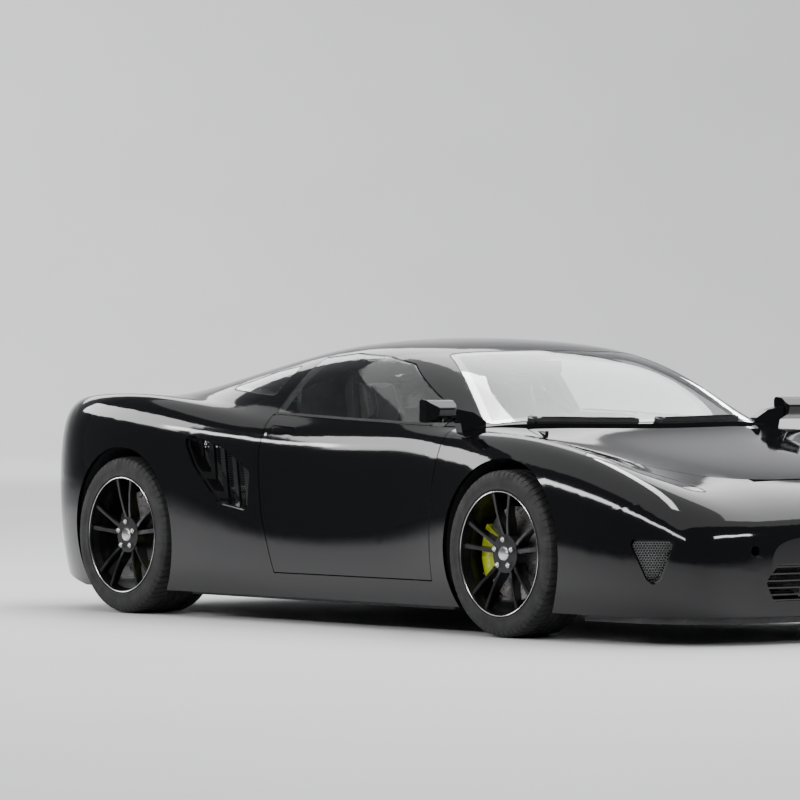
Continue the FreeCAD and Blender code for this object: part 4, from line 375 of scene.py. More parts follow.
class Shape:
    """Vertices and faces that become one piece."""

    def __init__(self):
        self.vertices = []
        self.faces = []

    def add(self, vertices, faces):
        start = len(self.vertices)
        self.vertices += [tuple(vertex) for vertex in vertices]
        self.faces += [tuple(start + index for index in face) for face in faces]
        return self

    def grid(self, rows, loop_rows=False, loop_points=False, caps=False):
        """Quads between rows of points."""
        count = len(rows[0])
        faces = []
        for i in range(len(rows) if loop_rows else len(rows) - 1):
            for j in range(count if loop_points else count - 1):
                after = (i + 1) % len(rows)
                nearby = (j + 1) % count
                faces.append((i * count + j, i * count + nearby, after * count + nearby,
                              after * count + j))
        if caps:
            faces.append(tuple(reversed(range(count))))
            faces.append(tuple(range((len(rows) - 1) * count, len(rows) * count)))
        return self.add([point for row in rows for point in row], faces)

    def lathe(self, profile, centre, axis, steps=48, closed=False):
        """Turns a profile of (radius, along) about an axis through centre."""
        out, up, along = frame_about(axis)
        rows = []
        for angle in turns(steps):
            spoke = out * math.cos(angle) + up * math.sin(angle)
            rows.append([Vector(centre) + spoke * radius + along * reach
                         for radius, reach in profile])
        return self.grid(rows, loop_rows=True, loop_points=closed)

    def sweep(self, path, section, closed=False, up=UP):
        """Carries a closed section of (across, height) along a path. up is one vector or one
        for each point."""
        ups = up if isinstance(up, list) else [up] * len(path)
        rows = []
        for point, along, upward in zip(path, directions(path, closed), ups):
            across = along.cross(Vector(upward)).normalized()
            top = across.cross(along)
            rows.append([Vector(point) + across * a + top * h for a, h in section])
        return self.grid(rows, loop_rows=closed, loop_points=True, caps=not closed)

    def follow(self, traced, section, closed=False):
        """Carries a section along traced points of a skin, upright on their normals."""
        return self.sweep([point for point, _ in traced], section, closed,
                          [normal for _, normal in traced])

    def tube(self, path, radius, steps=8, closed=False):
        """A round bar along a path."""
        ups = []
        for along in directions(path, closed):
            up = ups[-1] - along * ups[-1].dot(along) if ups else along.orthogonal()
            ups.append(up.normalized())
        section = [(radius * math.cos(angle), radius * math.sin(angle)) for angle in turns(steps)]
        return self.sweep(path, section, closed, ups)

    def prism(self, outline, depth, place, across=AHEAD, up=UP):
        """Pulls a flat outline of (across, up) by depth along across x up."""
        across, up = Vector(across).normalized(), Vector(up).normalized()
        pull = across.cross(up) * depth
        base = [Vector(place) + across * a + up * b for a, b in outline]
        return self.slab(base, [point + pull for point in base])

    def slab(self, front, back):
        """A body between two outlines with the same number of points."""
        count = len(front)
        faces = [tuple(reversed(range(count))), tuple(range(count, 2 * count))]
        faces += [(i, (i + 1) % count, count + (i + 1) % count, count + i) for i in range(count)]
        return self.add(front + back, faces)

    def box(self, low, high):
        outline = ((low[0], low[1]), (high[0], low[1]), (high[0], high[1]), (low[0], high[1]))
        return self.prism(outline, high[2] - low[2], (0, 0, low[2]), AHEAD, LEFT)

    def crown(self, outline, rows, place):
        """Stacks an outline by rows of (height, share of its size); place gives the points."""
        return self.grid([[place(a * share, b * share, height) for a, b in outline]
                          for height, share in rows], loop_points=True, caps=True)

    def sew(self, traced, length=0.006, gap=0.0035, radius=0.0007):
        """Single threads along a traced line, each a short bar that dips at its ends."""
        points = evenly([point for point, _ in traced], length + gap)
        for a, b in zip(points, points[1:]):
            near = min(traced, key=lambda pair: (pair[0] - a).length_squared)
            lift = near[1].normalized() * radius
            end = a.lerp(b, length / (length + gap))
            self.tube([a - lift, a.lerp(end, 0.3) + lift * 0.6, a.lerp(end, 0.7) + lift * 0.6,
                       end - lift], radius, 5)
        return self

    def mirrored(self):
        """The same shape on the other side of the car."""
        return Shape().add([(x, -y, z) for x, y, z in self.vertices],
                           [tuple(reversed(face)) for face in self.faces])

    def piece(self, name, finish, body="root", bevel=0.0, segments=2, sharp=35.0, smooth=0):
        """Makes the object, gives it its finish and lets it ride on its body."""
        mesh = bpy.data.meshes.new(name)
        mesh.from_pydata(self.vertices, [], self.faces)
        edit = bmesh.new()
        edit.from_mesh(mesh)
        bmesh.ops.remove_doubles(edit, verts=edit.verts, dist=WELD)
        bmesh.ops.recalc_face_normals(edit, faces=edit.faces)
        edit.to_mesh(mesh)
        edit.free()
        mesh.shade_smooth()
        mesh.set_sharp_from_angle(angle=math.radians(sharp))
        obj = link(bpy.data.objects.new(name, mesh))
        slot, material = FINISHES[finish]
        mesh.materials.append(material)
        if bevel:
            rounding = obj.modifiers.new("bevel", "BEVEL")
            rounding.width = bevel
            rounding.segments = segments
            rounding.limit_method = "ANGLE"
            rounding.angle_limit = math.radians(sharp)
        if smooth:
            divide = obj.modifiers.new("subdivision", "SUBSURF")
            divide.levels = divide.render_levels = smooth
        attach(obj, body)
        return obj


def turns(count, start=0.0):
    """Even angles round a circle; start is a share of one step."""
    return [TURN * (i + start) / count for i in range(count)]


def directions(path, closed):
    """The way a path runs at each of its points."""
    count = len(path)
    found = []
    for i in range(count):
        before = path[i - 1] if i or closed else path[i]
        after = path[(i + 1) % count] if i < count - 1 or closed else path[i]
        found.append((Vector(after) - Vector(before)).normalized())
    return found


def frame_about(axis):
    """Three square directions, the last one along the axis."""
    along = Vector(axis).normalized()
    out = along.orthogonal().normalized()
    return out, along.cross(out), along


def band(width, height):
    """A flat bar's section that stands on its path."""
    return [(-width / 2, 0), (width / 2, 0), (width / 2, height), (-width / 2, height)]


def rounded(width, height, radius, steps=5):
    """The outline of a rounded rectangle about its middle."""
    outline = []
    for i in range(4):
        turn = math.pi / 2 * i
        cx = (width / 2 - radius) * (1 if i in (0, 3) else -1)
        cy = (height / 2 - radius) * (1 if i in (0, 1) else -1)
        for k in range(steps + 1):
            angle = turn + math.pi / 2 * k / steps
            outline.append((cx + radius * math.cos(angle), cy + radius * math.sin(angle)))
    return outline


def evenly(points, step, closed=False):
    """Points at even steps along a line through the given ones."""
    points = [Vector(point) for point in points]
    if closed:
        points = points + [points[0]]
    lengths = [(b - a).length for a, b in zip(points, points[1:])]
    count = max(2, round(sum(lengths) / step))
    found = []
    for i in range(count if closed else count + 1):
        left = sum(lengths) * i / count
        for a, b, length in zip(points, points[1:], lengths):
            if left <= length + 1e-9:
                found.append(a.lerp(b, left / length if length else 0))
                break
            left -= length
    return found


def bowed(points, step=0.02, rounds=3):
    """A smooth line near the given corner points."""
    points = [Vector(point) for point in points]
    for _ in range(rounds):
        cut = [a.lerp(b, share) for a, b in zip(points, points[1:]) for share in (0.25, 0.75)]
        points = [points[0]] + cut + [points[-1]]
    return evenly(points, step)


class Skin:
    """The surface of some CAD nodes, found by rays."""

    def __init__(self, *names, objects=()):
        vertices, faces = [], []
        for obj in [NODES[name] for name in names] + list(objects):
            start = len(vertices)
            vertices += [vertex.co for vertex in obj.data.vertices]
            faces += [[start + index for index in polygon.vertices]
                      for polygon in obj.data.polygons]
        self.tree = BVHTree.FromPolygons(vertices, faces)

    def hit(self, origin, direction):
        """The first point that a ray meets, and the normal that faces the ray."""
        direction = Vector(direction).normalized()
        point, normal, _, _ = self.tree.ray_cast(Vector(origin), direction)
        if point is None:
            return None, None
        return point, normal if normal.dot(direction) < 0 else -normal

    def top(self, x, y):
        """The skin seen from above."""
        return self.hit((x, y, 2.0), DOWN)

    def trace(self, starts, direction, lift=0.0):
        """Points on the skin where rays meet it, with their normals."""
        hits = [self.hit(start, direction) for start in starts]
        return [(point + normal * lift, normal) for point, normal in hits if point is not None]


def repaint(node, finish, test):
    """Gives the faces of a CAD node that pass a test a finish of their own."""
    mesh = NODES[node].data
    mesh.materials.append(FINISHES[finish][1])
    for polygon in mesh.polygons:
        if test(polygon.center, polygon.normal):
            polygon.material_index = len(mesh.materials) - 1


# Wheels

# Tread grooves as shares of the half width, and the tread blocks round the tyre
GROOVES = (0.16, 0.50)
GROOVE_HALF = 0.0045
GROOVE_DEPTH = 0.006
CROSS_GROOVE_DEPTH = 0.0045
TREAD_PITCHES = 68
TREAD_EDGE = 0.020
# Cuts round one pitch: share of the pitch and whether it is down in the cross groove
PITCH_STEPS = ((0.0, 0), (0.45, 0), (0.87, 0), (0.89, 1), (0.985, 1))
# Side wall from the shoulder to the bead: how far inside the tyre's side, share of the wall's
# height and what is added to the radius
WALL_ROWS = ((0.0005, 0.72, 0), (0.0005, 0.70, 0), (0.0012, 0.69, 0), (0.0012, 0.46, 0),
             (0.0022, 0.36, 0), (0.0008, 0, 0.0125), (0.0008, 0, 0.0085), (0.0050, 0, 0.0045),
             (0.0080, 0, 0.0006))
DISC_RADIUS = 0.190
DISC_OUT = 0.030
DISC_HOLE_SHADES = 36
STUD_CIRCLE = 0.057
STUDS = 5
RIM_BOLTS = 10
# Calliper: angles in degrees from its middle, radii, and its section of (radius, outboard)
CALLIPER_SPAN = 30.5
CALLIPER_STEPS = 22
CALLIPER_FOOT = 0.129
CALLIPER_SECTION = ((0.1290, 0.0342), (0.1290, 0.0420), (0.1400, 0.0480), (0.1760, 0.0490),
                    (0.2030, 0.0450), (0.2130, 0.0375), (0.2165, 0.0300), (0.2170, -0.0500),
                    (0.2162, -0.0500), (0.2162, 0.0342))
PISTON_CIRCLE = 0.163
PISTON_ANGLE = 17.5
BOLT_ANGLE = 25
PAD_PIN_ANGLE = 9
PAD_PIN_CIRCLE = 0.2150
CALLIPER_BOLT = ((0, 0.0070), (0.0038, 0.0070), (0.0044, 0.0062), (0.0044, 0.0))


def hub_point(axle, side, radius, angle, out):
    """A point of a wheel: its radius, its angle from straight up and how far outboard it is."""
    spec = WHEELS[axle]
    return Vector((spec["x"] + radius * math.sin(angle), side * (spec["track"] / 2 + out),
                   spec["radius"] + radius * math.cos(angle)))


def tyre_profile(spec):
    """Rows across one tyre as (across, radius, how much the cross grooves cut it)."""
    half = spec["width"] / 2
    radius = spec["radius"]
    edge = half - TREAD_EDGE
    rows = [(0.0, radius, 0.0)]
    for share, before, after in zip(GROOVES, (0.0, 0.5), (0.35, 1.0)):
        centre = share * edge
        near = radius - 0.003 * (centre / edge) ** 2
        rows += [(centre - GROOVE_HALF, near, before),
                 (centre - GROOVE_HALF * 0.8, near - GROOVE_DEPTH, 0.0),
                 (centre + GROOVE_HALF * 0.8, near - GROOVE_DEPTH, 0.0),
                 (centre + GROOVE_HALF, near, after)]
    rows += [(edge * 0.76, radius - 0.002, 1.0), (edge, radius - 0.0045, 1.0),
             (half - 0.010, radius - 0.0105, 1.0), (half - 0.0045, radius - 0.020, 1.0),
             (half - 0.0018, radius - 0.032, 0.5), (half - 0.0012, radius - 0.036, 0.0)]
    wall = radius - 0.036 - RIM_RADIUS
    rows += [(half - inset, RIM_RADIUS + wall * share + added, 0.0)
             for inset, share, added in WALL_ROWS]
    return [(-across, reach, cut) for across, reach, cut in reversed(rows[1:])] + rows


def make_tyre(axle, name, side):
    """Tyre with grooved tread blocks and ribbed walls, inside the CAD tyre's outline."""
    spec = WHEELS[axle]
    edge = spec["width"] / 2 - TREAD_EDGE
    columns = []
    for pitch in range(TREAD_PITCHES):
        for share, low in PITCH_STEPS:
            column = []
            for across, reach, cut in tyre_profile(spec):
                skew = min(1.0, abs(across) / edge) ** 1.5 * 1.1
                angle = TURN * (pitch + share + skew) / TREAD_PITCHES
                column.append(hub_point(axle, side, reach - low * cut * CROSS_GROOVE_DEPTH,
                                        angle, across))
            columns.append(column)
    tyre = Shape().grid(columns, loop_rows=True, loop_points=True).piece(
        f"{axle}_tread_{name}", "rubber", f"{axle}_wheel_{name}", sharp=28)
    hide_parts(f"{axle}_tyre_{name}")


def make_brake_hole_shades(axle, name, side):
    """Rows of small near-black discs on the disc's outer face: painted shade that stands in for
    drilled holes.
    """
    shape = Shape()
    for i in range(DISC_HOLE_SHADES):
        for k in range(3):
            angle = TURN * (i + k * 0.42) / DISC_HOLE_SHADES
            radius = 0.124 + 0.022 * k + 0.004 * (i % 2)
            shape.lathe([(0, 0.0002), (0.0030, 0.0002), (0.0036, -0.0006)],
                        hub_point(axle, side, radius, angle, DISC_OUT), (0, side, 0), 8)
    shape.piece(f"{axle}_disc_hole_shades_{name}", "seal", f"{axle}_wheel_{name}", sharp=60)


def make_hub(axle, name, side):
    """Centre cap, lug bolts, rim bolts, valve and the machined edge of the rim."""
    half = WHEELS[axle]["width"] / 2
    body = f"{axle}_wheel_{name}"
    face = half - 0.036
    out = (0, side, 0)
    centre = hub_point(axle, side, 0, 0, face)
    bright = Shape().lathe([(0.0, 0.0155), (0.016, 0.0155), (0.025, 0.0140), (0.0300, 0.0095),
                            (0.0312, 0.0060), (0.0312, -0.001)], centre, out)
    for angle in turns(STUDS):
        place = hub_point(axle, side, STUD_CIRCLE, angle, face)
        bright.lathe([(0.0, 0.0215), (0.0055, 0.0215), (0.0062, 0.0208), (0.0062, 0.0165),
                      (0.0085, 0.0165)], place, out, 6)
        bright.lathe([(0.0092, 0.0168), (0.0112, 0.0150), (0.0118, 0.0100), (0.0118, -0.001)],
                     place, out, 24)
        bright.lathe([(0.0070, 0.0168), (0.0092, 0.0168)], place, out, 24)
    bright.piece(f"{axle}_hub_caps_{name}", "bright", body, sharp=32)
    grooves = Shape().lathe([(0.0335, 0.0006), (0.0365, 0.0010), (0.0395, 0.0006),
                             (0.0395, -0.001)], centre, out)
    for angle in turns(RIM_BOLTS, 0.5):
        grooves.lathe([(0, 0.0035), (0.0022, 0.0032), (0.0030, 0.0010), (0.0030, -0.003)],
                      hub_point(axle, side, 0.2505, angle, half - 0.010), out, 10)
    grooves.piece(f"{axle}_rim_bolts_{name}", "steel", body, sharp=40)
    Shape().lathe([(0.2500, -0.0045), (0.2500, 0.0002), (0.2516, 0.0011), (0.2532, 0.0004),
                   (0.2537, -0.0035)], hub_point(axle, side, 0, 0, half - 0.003), out,
                  120).piece(f"{axle}_rim_edge_{name}", "bright", body, sharp=30)
    start = hub_point(axle, side, 0.236, math.pi / 5, half - 0.030)
    inward = hub_point(axle, side, 0.20, math.pi / 5, half - 0.018) - start
    Shape().lathe([(0, 0.034), (0.0036, 0.034), (0.0040, 0.031), (0.0040, 0.021),
                   (0.0030, 0.020), (0.0030, 0.008), (0.0048, 0.004), (0.0048, 0)], start,
                  inward, 12).piece(f"{axle}_valve_{name}", "seal", body, sharp=40)


def make_calliper(axle, name, side):
    """Enamelled calliper shell with piston domes over the CAD bridge, bolts and pad pins."""
    body = f"front_knuckle_{name}" if axle == "front" else "root"
    out = (0, side, 0)

    def spot(radius, degrees, outboard):
        angle = math.pi / 2 * WHEELS[axle]["way"] + math.radians(degrees)
        return hub_point(axle, side, radius, angle, outboard)

    rows = []
    for i in range(CALLIPER_STEPS + 1):
        place = 2 * i / CALLIPER_STEPS - 1
        waist = 1 - 0.10 * abs(place) ** 3
        rows.append([spot(CALLIPER_FOOT + (radius - CALLIPER_FOOT) * waist,
                          CALLIPER_SPAN * place, outboard)
                     for radius, outboard in CALLIPER_SECTION])
    shape = Shape().grid(rows, loop_points=True, caps=True)
    for k, radius in ((-1, 0.0195), (0, 0.0215), (1, 0.0195)):
        shape.lathe([(0, 0.0050), (radius * 0.72, 0.0046), (radius * 0.93, 0.0030),
                     (radius, -0.002)], spot(PISTON_CIRCLE, PISTON_ANGLE * k, 0.0470), out, 28)
    shape.piece(f"{axle}_calliper_{name}", "calliper", body, bevel=0.0015, sharp=38)
    pins = Shape()
    for k in (-1, 1):
        for radius in (0.138, 0.205):
            pins.lathe(CALLIPER_BOLT, spot(radius, BOLT_ANGLE * k, 0.0440), out, 6)
    for k in (-1, 1):
        pins.tube([spot(PAD_PIN_CIRCLE, PAD_PIN_ANGLE * k, outboard)
                   for outboard in (0.0300, -0.0450)], 0.0035, 10)
    pins.piece(f"{axle}_calliper_bolts_{name}", "steel", body, sharp=40)


def dress_wheels():
    """Iron discs and enamelled callipers on the CAD nodes, and the pieces of each wheel."""
    for axle, spec in WHEELS.items():
        for name, side in SIDES:
            def about(centre):
                return (math.hypot(centre.x - spec["x"], centre.z - spec["radius"]),
                        side * centre.y - spec["track"] / 2)

            def disc(centre, normal):
                radius, out = about(centre)
                return radius < DISC_RADIUS + 0.001 and out < DISC_OUT + 0.0005

            def enamel(centre, normal):
                radius, out = about(centre)
                ahead = (centre.x - spec["x"]) * spec["way"]
                return 0.126 < radius < 0.218 and ahead > 0.09 and -0.085 < out < 0.05

            repaint(f"{axle}_wheel_{name}", "disc", disc)
            repaint(f"front_knuckle_{name}" if axle == "front" else "suspension", "calliper",
                    enamel)
            for make in (make_tyre, make_brake_hole_shades, make_hub, make_calliper):
                make(axle, name, side)


# Glass borders, seals and lamps

SCREEN_HALF = ((0.985, 0), (0.955, -0.33), (0.858, -0.742), (0.292, -0.5), (0.33, -0.25),
               (0.34, 0))
COVER_GLASS_HALF = ((-0.64, 0), (-0.64, -0.33), (-1.18, -0.41), (-1.23, -0.38), (-1.24, 0))
QUARTER_GLASS = ((-0.56, 0.962), (-0.548, 1.098), (-0.74, 1.066), (-0.985, 1.0),
                 (-0.96, 0.985))
GLASS_THICKNESS = 0.006
BELT_LINE = ((0.62, 0, 0.8535), (0.0, 0, 0.8725), (-0.455, 0, 0.8895))
SEAL_SECTION = ((-0.0035, -0.001), (0.0030, -0.001), (0.0022, 0.0011), (-0.0026, 0.0014))
LAMP_HALF = ((2.085, -0.59), (2.05, -0.668), (1.88, -0.768), (1.625, -0.852), (1.59, -0.812),
             (1.79, -0.712), (1.96, -0.61))
LAMP_BARRELS = ((1.965, -0.662), (1.86, -0.722), (1.745, -0.77))
LIGHT_GUIDE = ((2.045, -0.625, 0), (1.955, -0.640, 0), (1.80, -0.728, 0), (1.66, -0.812, 0))
LAMP_COVER = 0.014
BARREL_RADIUS = 0.0325
BARREL_TOP_DROP = 0.042
LAMP_LENS = ((0.0, 0.0135), (0.008, 0.0125), (0.015, 0.0095), (0.0205, 0.0045), (0.0228, 0.0),
             (0.0228, -0.006), (0.0, -0.006))
LAMP_BEZEL = ((0.0232, 0.0005), (0.0250, 0.0022), (0.0305, 0.0022), (0.0318, 0.0002),
              (0.0318, -0.004), (0.0232, -0.004))
TAIL_LAMP_PLACE = (0.560, 0.800)
TAIL_LENS_RADII = (0.0005, 0.020, 0.040, 0.055, 0.066, 0.0705)
BEHIND_CAR = -2.6


def symmetric(half):
    """A whole outline from the half on one side of the car's middle."""
    return list(half) + [(x, -y) for x, y in reversed(half) if y]


def above(point):
    """Where a ray down to a flat point starts."""
    return (point.x, point.y, 2.0)


def rim_of(skin, outline, place, direction, step=0.015):
    """Where a pane really begins along an outline: rows of (point, inward step)."""
    flat = evenly([(a, b, 0) for a, b in outline], step, closed=True)
    area = sum(p.x * q.y - q.x * p.y for p, q in zip(flat, flat[1:] + flat[:1]))
    found = []
    for point, along in zip(flat, directions(flat, True)):
        inward = Vector((-along.y, along.x, 0)) * (1 if area > 0 else -1)
        for k in range(-30, 60):
            start = point + inward * 0.001 * k
            if skin.hit(place(start), direction)[0] is not None:
                found.append((start, inward))
                break
    return found


def pane(name, nodes, outline, place, direction, width, body="root"):
    """Black border on the inside of a pane, if it has a width, and a rubber seal round it."""
    skin = Skin(*nodes)
    rim = rim_of(skin, outline, place, direction)
    if width:
        rows = []
        for start, inward in rim:
            traced = skin.trace([place(start + inward * (0.001 + width * k / 3))
                                 for k in range(4)], direction, -GLASS_THICKNESS - 0.0004)
            if len(traced) == 4:
                rows.append([point for point, _ in traced])
        Shape().grid(rows, loop_rows=True).piece(f"{name}_border", "frit", body, sharp=60)
    traced = skin.trace([place(start + inward * 0.001) for start, inward in rim], direction,
                        -0.0004)
    Shape().follow(traced, SEAL_SECTION, True).piece(f"{name}_seal", "seal", body, sharp=50)


def dress_glass():
    """Borders and seals of the screens and quarter panes, door belt seals and rain sensor."""
    pane("windscreen", ["bonded_glass"], symmetric(SCREEN_HALF), above, DOWN, 0.034)
    pane("cover_glass", ["engine_cover_glass"], symmetric(COVER_GLASS_HALF), above, DOWN, 0.022,
         "engine_cover")
    for name, side in SIDES:
        def beside(point):
            return (point.x, side * 1.5, point.y)

        inward = (0, -side, 0)
        pane(f"quarter_glass_{name}", ["bonded_glass"], QUARTER_GLASS, beside, inward, 0.016)
        starts = [(x, side * 1.5, z) for x, _, z in evenly(BELT_LINE, 0.02)]
        Shape().follow(Skin(f"door_glass_{name}").trace(starts, inward, 0.0002),
                       band(0.012, 0.0025)).piece(f"belt_seal_{name}", "seal", f"door_{name}",
                                                  bevel=0.0008)
    screen = Skin("bonded_glass")
    dots = Shape()
    for y in (-0.06, 0.06):
        point, normal = screen.top(0.372, y)
        dots.lathe([(0.0, 0.004), (0.012, 0.003), (0.016, 0.0)], point - normal * 0.0115,
                   -normal, 20)
    dots.piece("rain_sensor", "plastic", sharp=50)


def dress_headlamps():
    """Clear cover, black bowl, bright barrels, lenses and a light guide in each headlamp."""
    skin = Skin("headlamps")
    barrels = [(x, side * -y) for x, y in LAMP_BARRELS for side in (-1, 1)]

    def below_cover(centre):
        top = skin.top(centre.x, centre.y)[0]
        return 9.0 if top is None else top.z - centre.z

    def bowl(centre, normal):
        return below_cover(centre) > LAMP_COVER

    def barrel(centre, normal):
        near = min(math.hypot(centre.x - x, centre.y - y) for x, y in barrels)
        return near < BARREL_RADIUS and below_cover(centre) > 0.035

    repaint("headlamps", "gloss_plastic", bowl)
    repaint("headlamps", "chrome", barrel)
    for name, side in SIDES:
        lens = Shape()
        bezel = Shape()
        for x, y in LAMP_BARRELS:
            top = skin.top(x, -side * y)[0]
            place = Vector((x, -side * y, top.z - BARREL_TOP_DROP))
            lens.lathe(LAMP_LENS, place, UP, 40)
            bezel.lathe(LAMP_BEZEL, place, UP, closed=True)
            for k in range(3):
                radius, height = 0.0335 + 0.003 * k, -0.012 - 0.006 * k
                bezel.lathe([(radius, height), (radius + 0.001, height + 0.001),
                             (radius + 0.002, height)], place, UP)
        lens.piece(f"headlamp_lenses_{name}", "lamp_glass", sharp=40)
        bezel.piece(f"headlamp_bezels_{name}", "chrome", sharp=35)
        starts = [(point.x, -side * point.y, 2.0) for point in evenly(LIGHT_GUIDE, 0.008)]
        path = [top - Vector((0, 0, 0.020)) for top, _ in skin.trace(starts, DOWN)]
        Shape().sweep(path, [(-0.003, -0.014), (0.003, -0.014), (0.002, 0.0),
                             (-0.002, 0.0)]).piece(f"headlamp_light_guide_{name}", "guide",
                                                   sharp=40)
        pane(f"headlamp_{name}", ["headlamps"], [(x, -side * y) for x, y in LAMP_HALF], above,
             DOWN, 0.0)


def dress_tail_lamps():
    """Round tail lamps: a red lens over two light rings and a faceted middle."""
    skin = Skin("tail_lamps")
    circle = turns(64)
    for name, side in SIDES:
        def face(radius, angle, back=0.0):
            y = side * TAIL_LAMP_PLACE[0] + radius * math.sin(angle)
            z = TAIL_LAMP_PLACE[1] + radius * math.cos(angle)
            point, _ = skin.hit((BEHIND_CAR, y, z), AHEAD)
            return Vector((point.x + back, y, z))

        def loops(places):
            return [[face(radius, angle, back) for angle in circle] for radius, back in places]

        outside = [(radius, 0.0012 if radius > 0.07 else 0.0) for radius in TAIL_LENS_RADII]
        inside_face = [(radius, 0.0045) for radius in reversed(TAIL_LENS_RADII)]
        cover = Shape().grid(loops(outside + inside_face), loop_points=True).piece(
            f"tail_lamp_lens_{name}", "red_lens", sharp=60)
        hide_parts("tail_lamps")
        Shape().grid(loops([(0.0705, 0.002), (0.0705, 0.05), (0.045, 0.05), (0.0005, 0.05)]),
                     loop_points=True).piece(f"tail_lamp_case_{name}", "gloss_plastic", sharp=50)
        Shape().tube(loops([(0.0703, 0.0016)])[0], 0.0016, 8, closed=True).piece(
            f"tail_lamp_seal_{name}", "seal", sharp=50)
        rings = Shape()
        for radius, thick in ((0.058, 0.0045), (0.036, 0.0035)):
            rings.tube(loops([(radius, 0.018)])[0], thick, 10, closed=True)
        rings.piece(f"tail_lamp_rings_{name}", "red_glow", sharp=50)
        shade = Shape()
        for inner, outer in ((0.041, 0.052), (0.063, 0.069)):
            shade.grid(loops([(inner, 0.024), ((inner + outer) / 2, 0.020), (outer, 0.024)]),
                       loop_points=True)
        shade.piece(f"tail_lamp_reflectors_{name}", "chrome", sharp=50)
        core = Shape()
        for i in range(-3, 4):
            for k in range(-3, 4):
                y, z = 0.0085 * i + (k % 2) * 0.00425, 0.0075 * k
                if math.hypot(y, z) < 0.027:
                    core.lathe([(0.0, 0.004), (0.0025, 0.003), (0.0042, 0.0)],
                               face(math.hypot(y, z), math.atan2(y, z), 0.024), (-1, 0, 0), 6)
        core.piece(f"tail_lamp_middle_{name}", "red_glow", sharp=20)


# Grilles and intakes

MOUTH = ((-0.43, 0.172), (0.43, 0.172), (0.47, 0.25), (0.40, 0.318), (-0.40, 0.318),
         (-0.47, 0.25))
SIDE_INTAKE = ((-0.52, 0.47), (-0.52, 0.64), (-0.70, 0.735), (-1.01, 0.812), (-0.90, 0.66),
               (-0.72, 0.50))
TAIL_VENT = ((-0.38, 0.70), (0.38, 0.70), (0.42, 0.78), (0.40, 0.85), (-0.40, 0.85),
             (-0.42, 0.78))
DUCT_HEADING = math.radians(-39.0)
DUCT_CENTRE = Vector((1.985, -0.805, 0.0))
DUCT_OUTLINE = ((-0.095, 0.418), (0.095, 0.418), (0.035, 0.262), (0.005, 0.238),
                (-0.025, 0.262))
WIRE_HALF = 0.0009
WIRE_DEPTH = 0.004


def inside(outline, a, b):
    """Whether a flat point lies in an outline."""
    found = False
    for (a1, b1), (a2, b2) in zip(outline, list(outline[1:]) + [outline[0]]):
        if (b1 > b) != (b2 > b) and a < (a2 - a1) * (b - b1) / (b2 - b1) + a1:
            found = not found
    return found


def honeycomb(outline, cell, place, across, up=UP):
    """Six-sided wire mesh inside an outline."""
    shape = Shape()
    low_a, high_a = min(p[0] for p in outline), max(p[0] for p in outline)
    b, high_b = min(p[1] for p in outline), max(p[1] for p in outline)
    corner = cell / math.sqrt(3)
    place, across, up = Vector(place), Vector(across).normalized(), Vector(up).normalized()
    out = across.cross(up)
    row = 0
    while b < high_b + cell:
        a = low_a + (cell / 2 if row % 2 else 0)
        while a < high_a + cell:
            points = [(a + corner * math.sin(math.pi / 3 * k),
                       b + corner * math.cos(math.pi / 3 * k)) for k in range(4)]
            for (a1, b1), (a2, b2) in zip(points, points[1:]):
                if inside(outline, (a1 + a2) / 2, (b1 + b2) / 2):
                    start = place + across * a1 + up * b1
                    end = place + across * a2 + up * b2
                    half = (end - start).normalized().cross(out) * WIRE_HALF
                    front = [start - half, start + half, end + half, end - half]
                    shape.add(front + [point + out * WIRE_DEPTH for point in front],
                              [(0, 1, 2, 3), (7, 6, 5, 4), (1, 5, 6, 2), (3, 7, 4, 0)])
            a += cell
        b += corner * 1.5
        row += 1
    return shape


def dress_grilles():
    """Wire mesh behind the mouth, the corner ducts, the side intakes and the tail vent."""
    honeycomb(MOUTH, 0.013, (2.118, 0, 0), LEFT).piece("mouth_mesh", "plastic", sharp=20)
    honeycomb(TAIL_VENT, 0.013, (-2.206, 0, 0), LEFT).piece("tail_vent_mesh", "plastic",
                                                            sharp=20)
    out = Vector((math.cos(DUCT_HEADING), math.sin(DUCT_HEADING), 0))
    for name, side in SIDES:
        honeycomb(SIDE_INTAKE, 0.012, (0, side * 0.866, 0), AHEAD).piece(
            f"side_intake_mesh_{name}", "plastic", sharp=20)
        # The corner ducts' meshes are light brushed steel, unlike the black meshes elsewhere: the
        # lighter finish is a painted reflection, standing in for light reflected in the ducts.
        mesh = honeycomb(DUCT_OUTLINE, 0.011, DUCT_CENTRE - out * 0.020, (-out.y, out.x, 0))
        (mesh if side < 0 else mesh.mirrored()).piece(f"corner_duct_mesh_{name}", "steel",
                                                      sharp=20)


# Mirrors, wipers, locks and other outside trim

MIRROR_PLACE = (0.9625, 0.913)
WIPER_X = 0.978
FLOOR_BOLT = ((0, 0.0035), (0.0055, 0.0035), (0.0060, 0.0028), (0.0060, 0.001),
              (0.0095, 0.0008), (0.0095, 0))
TAIL_PIPES = (-0.33, -0.215, 0.215, 0.33)
TAIL_PIPE_X = -2.2830
TAIL_PIPE_Z = 0.372


def cowl_line(x, y):
    """A place on the cowl, whose lines curve back towards the car's sides."""
    return x - 0.24 * y * y


def dress_mirrors():
    """Glass, rim and a light strip on each mirror."""
    skin = Skin("side_mirrors")
    for name, side in SIDES:
        y, z = side * MIRROR_PLACE[0], MIRROR_PLACE[1]
        Shape().prism(rounded(0.1065, 0.062, 0.012), 0.0015, (0.7796, y, z), RIGHT, UP).piece(
            f"mirror_glass_{name}", "mirror", bevel=0.0004)
        Shape().tube([Vector((0.7755, y + a, z + b)) for a, b in rounded(0.1085, 0.064, 0.012)],
                     0.0012, 6, closed=True).piece(f"mirror_rim_{name}", "gloss_plastic",
                                                   sharp=50)
        seam = evenly([(x, side * 1.2, 0.905) for x in (0.838, 0.878)], 0.01)
        Shape().follow(skin.trace(seam, (0, -side, 0)), band(0.004, 0.0006)).piece(
            f"mirror_lamp_{name}", "lamp_glass")


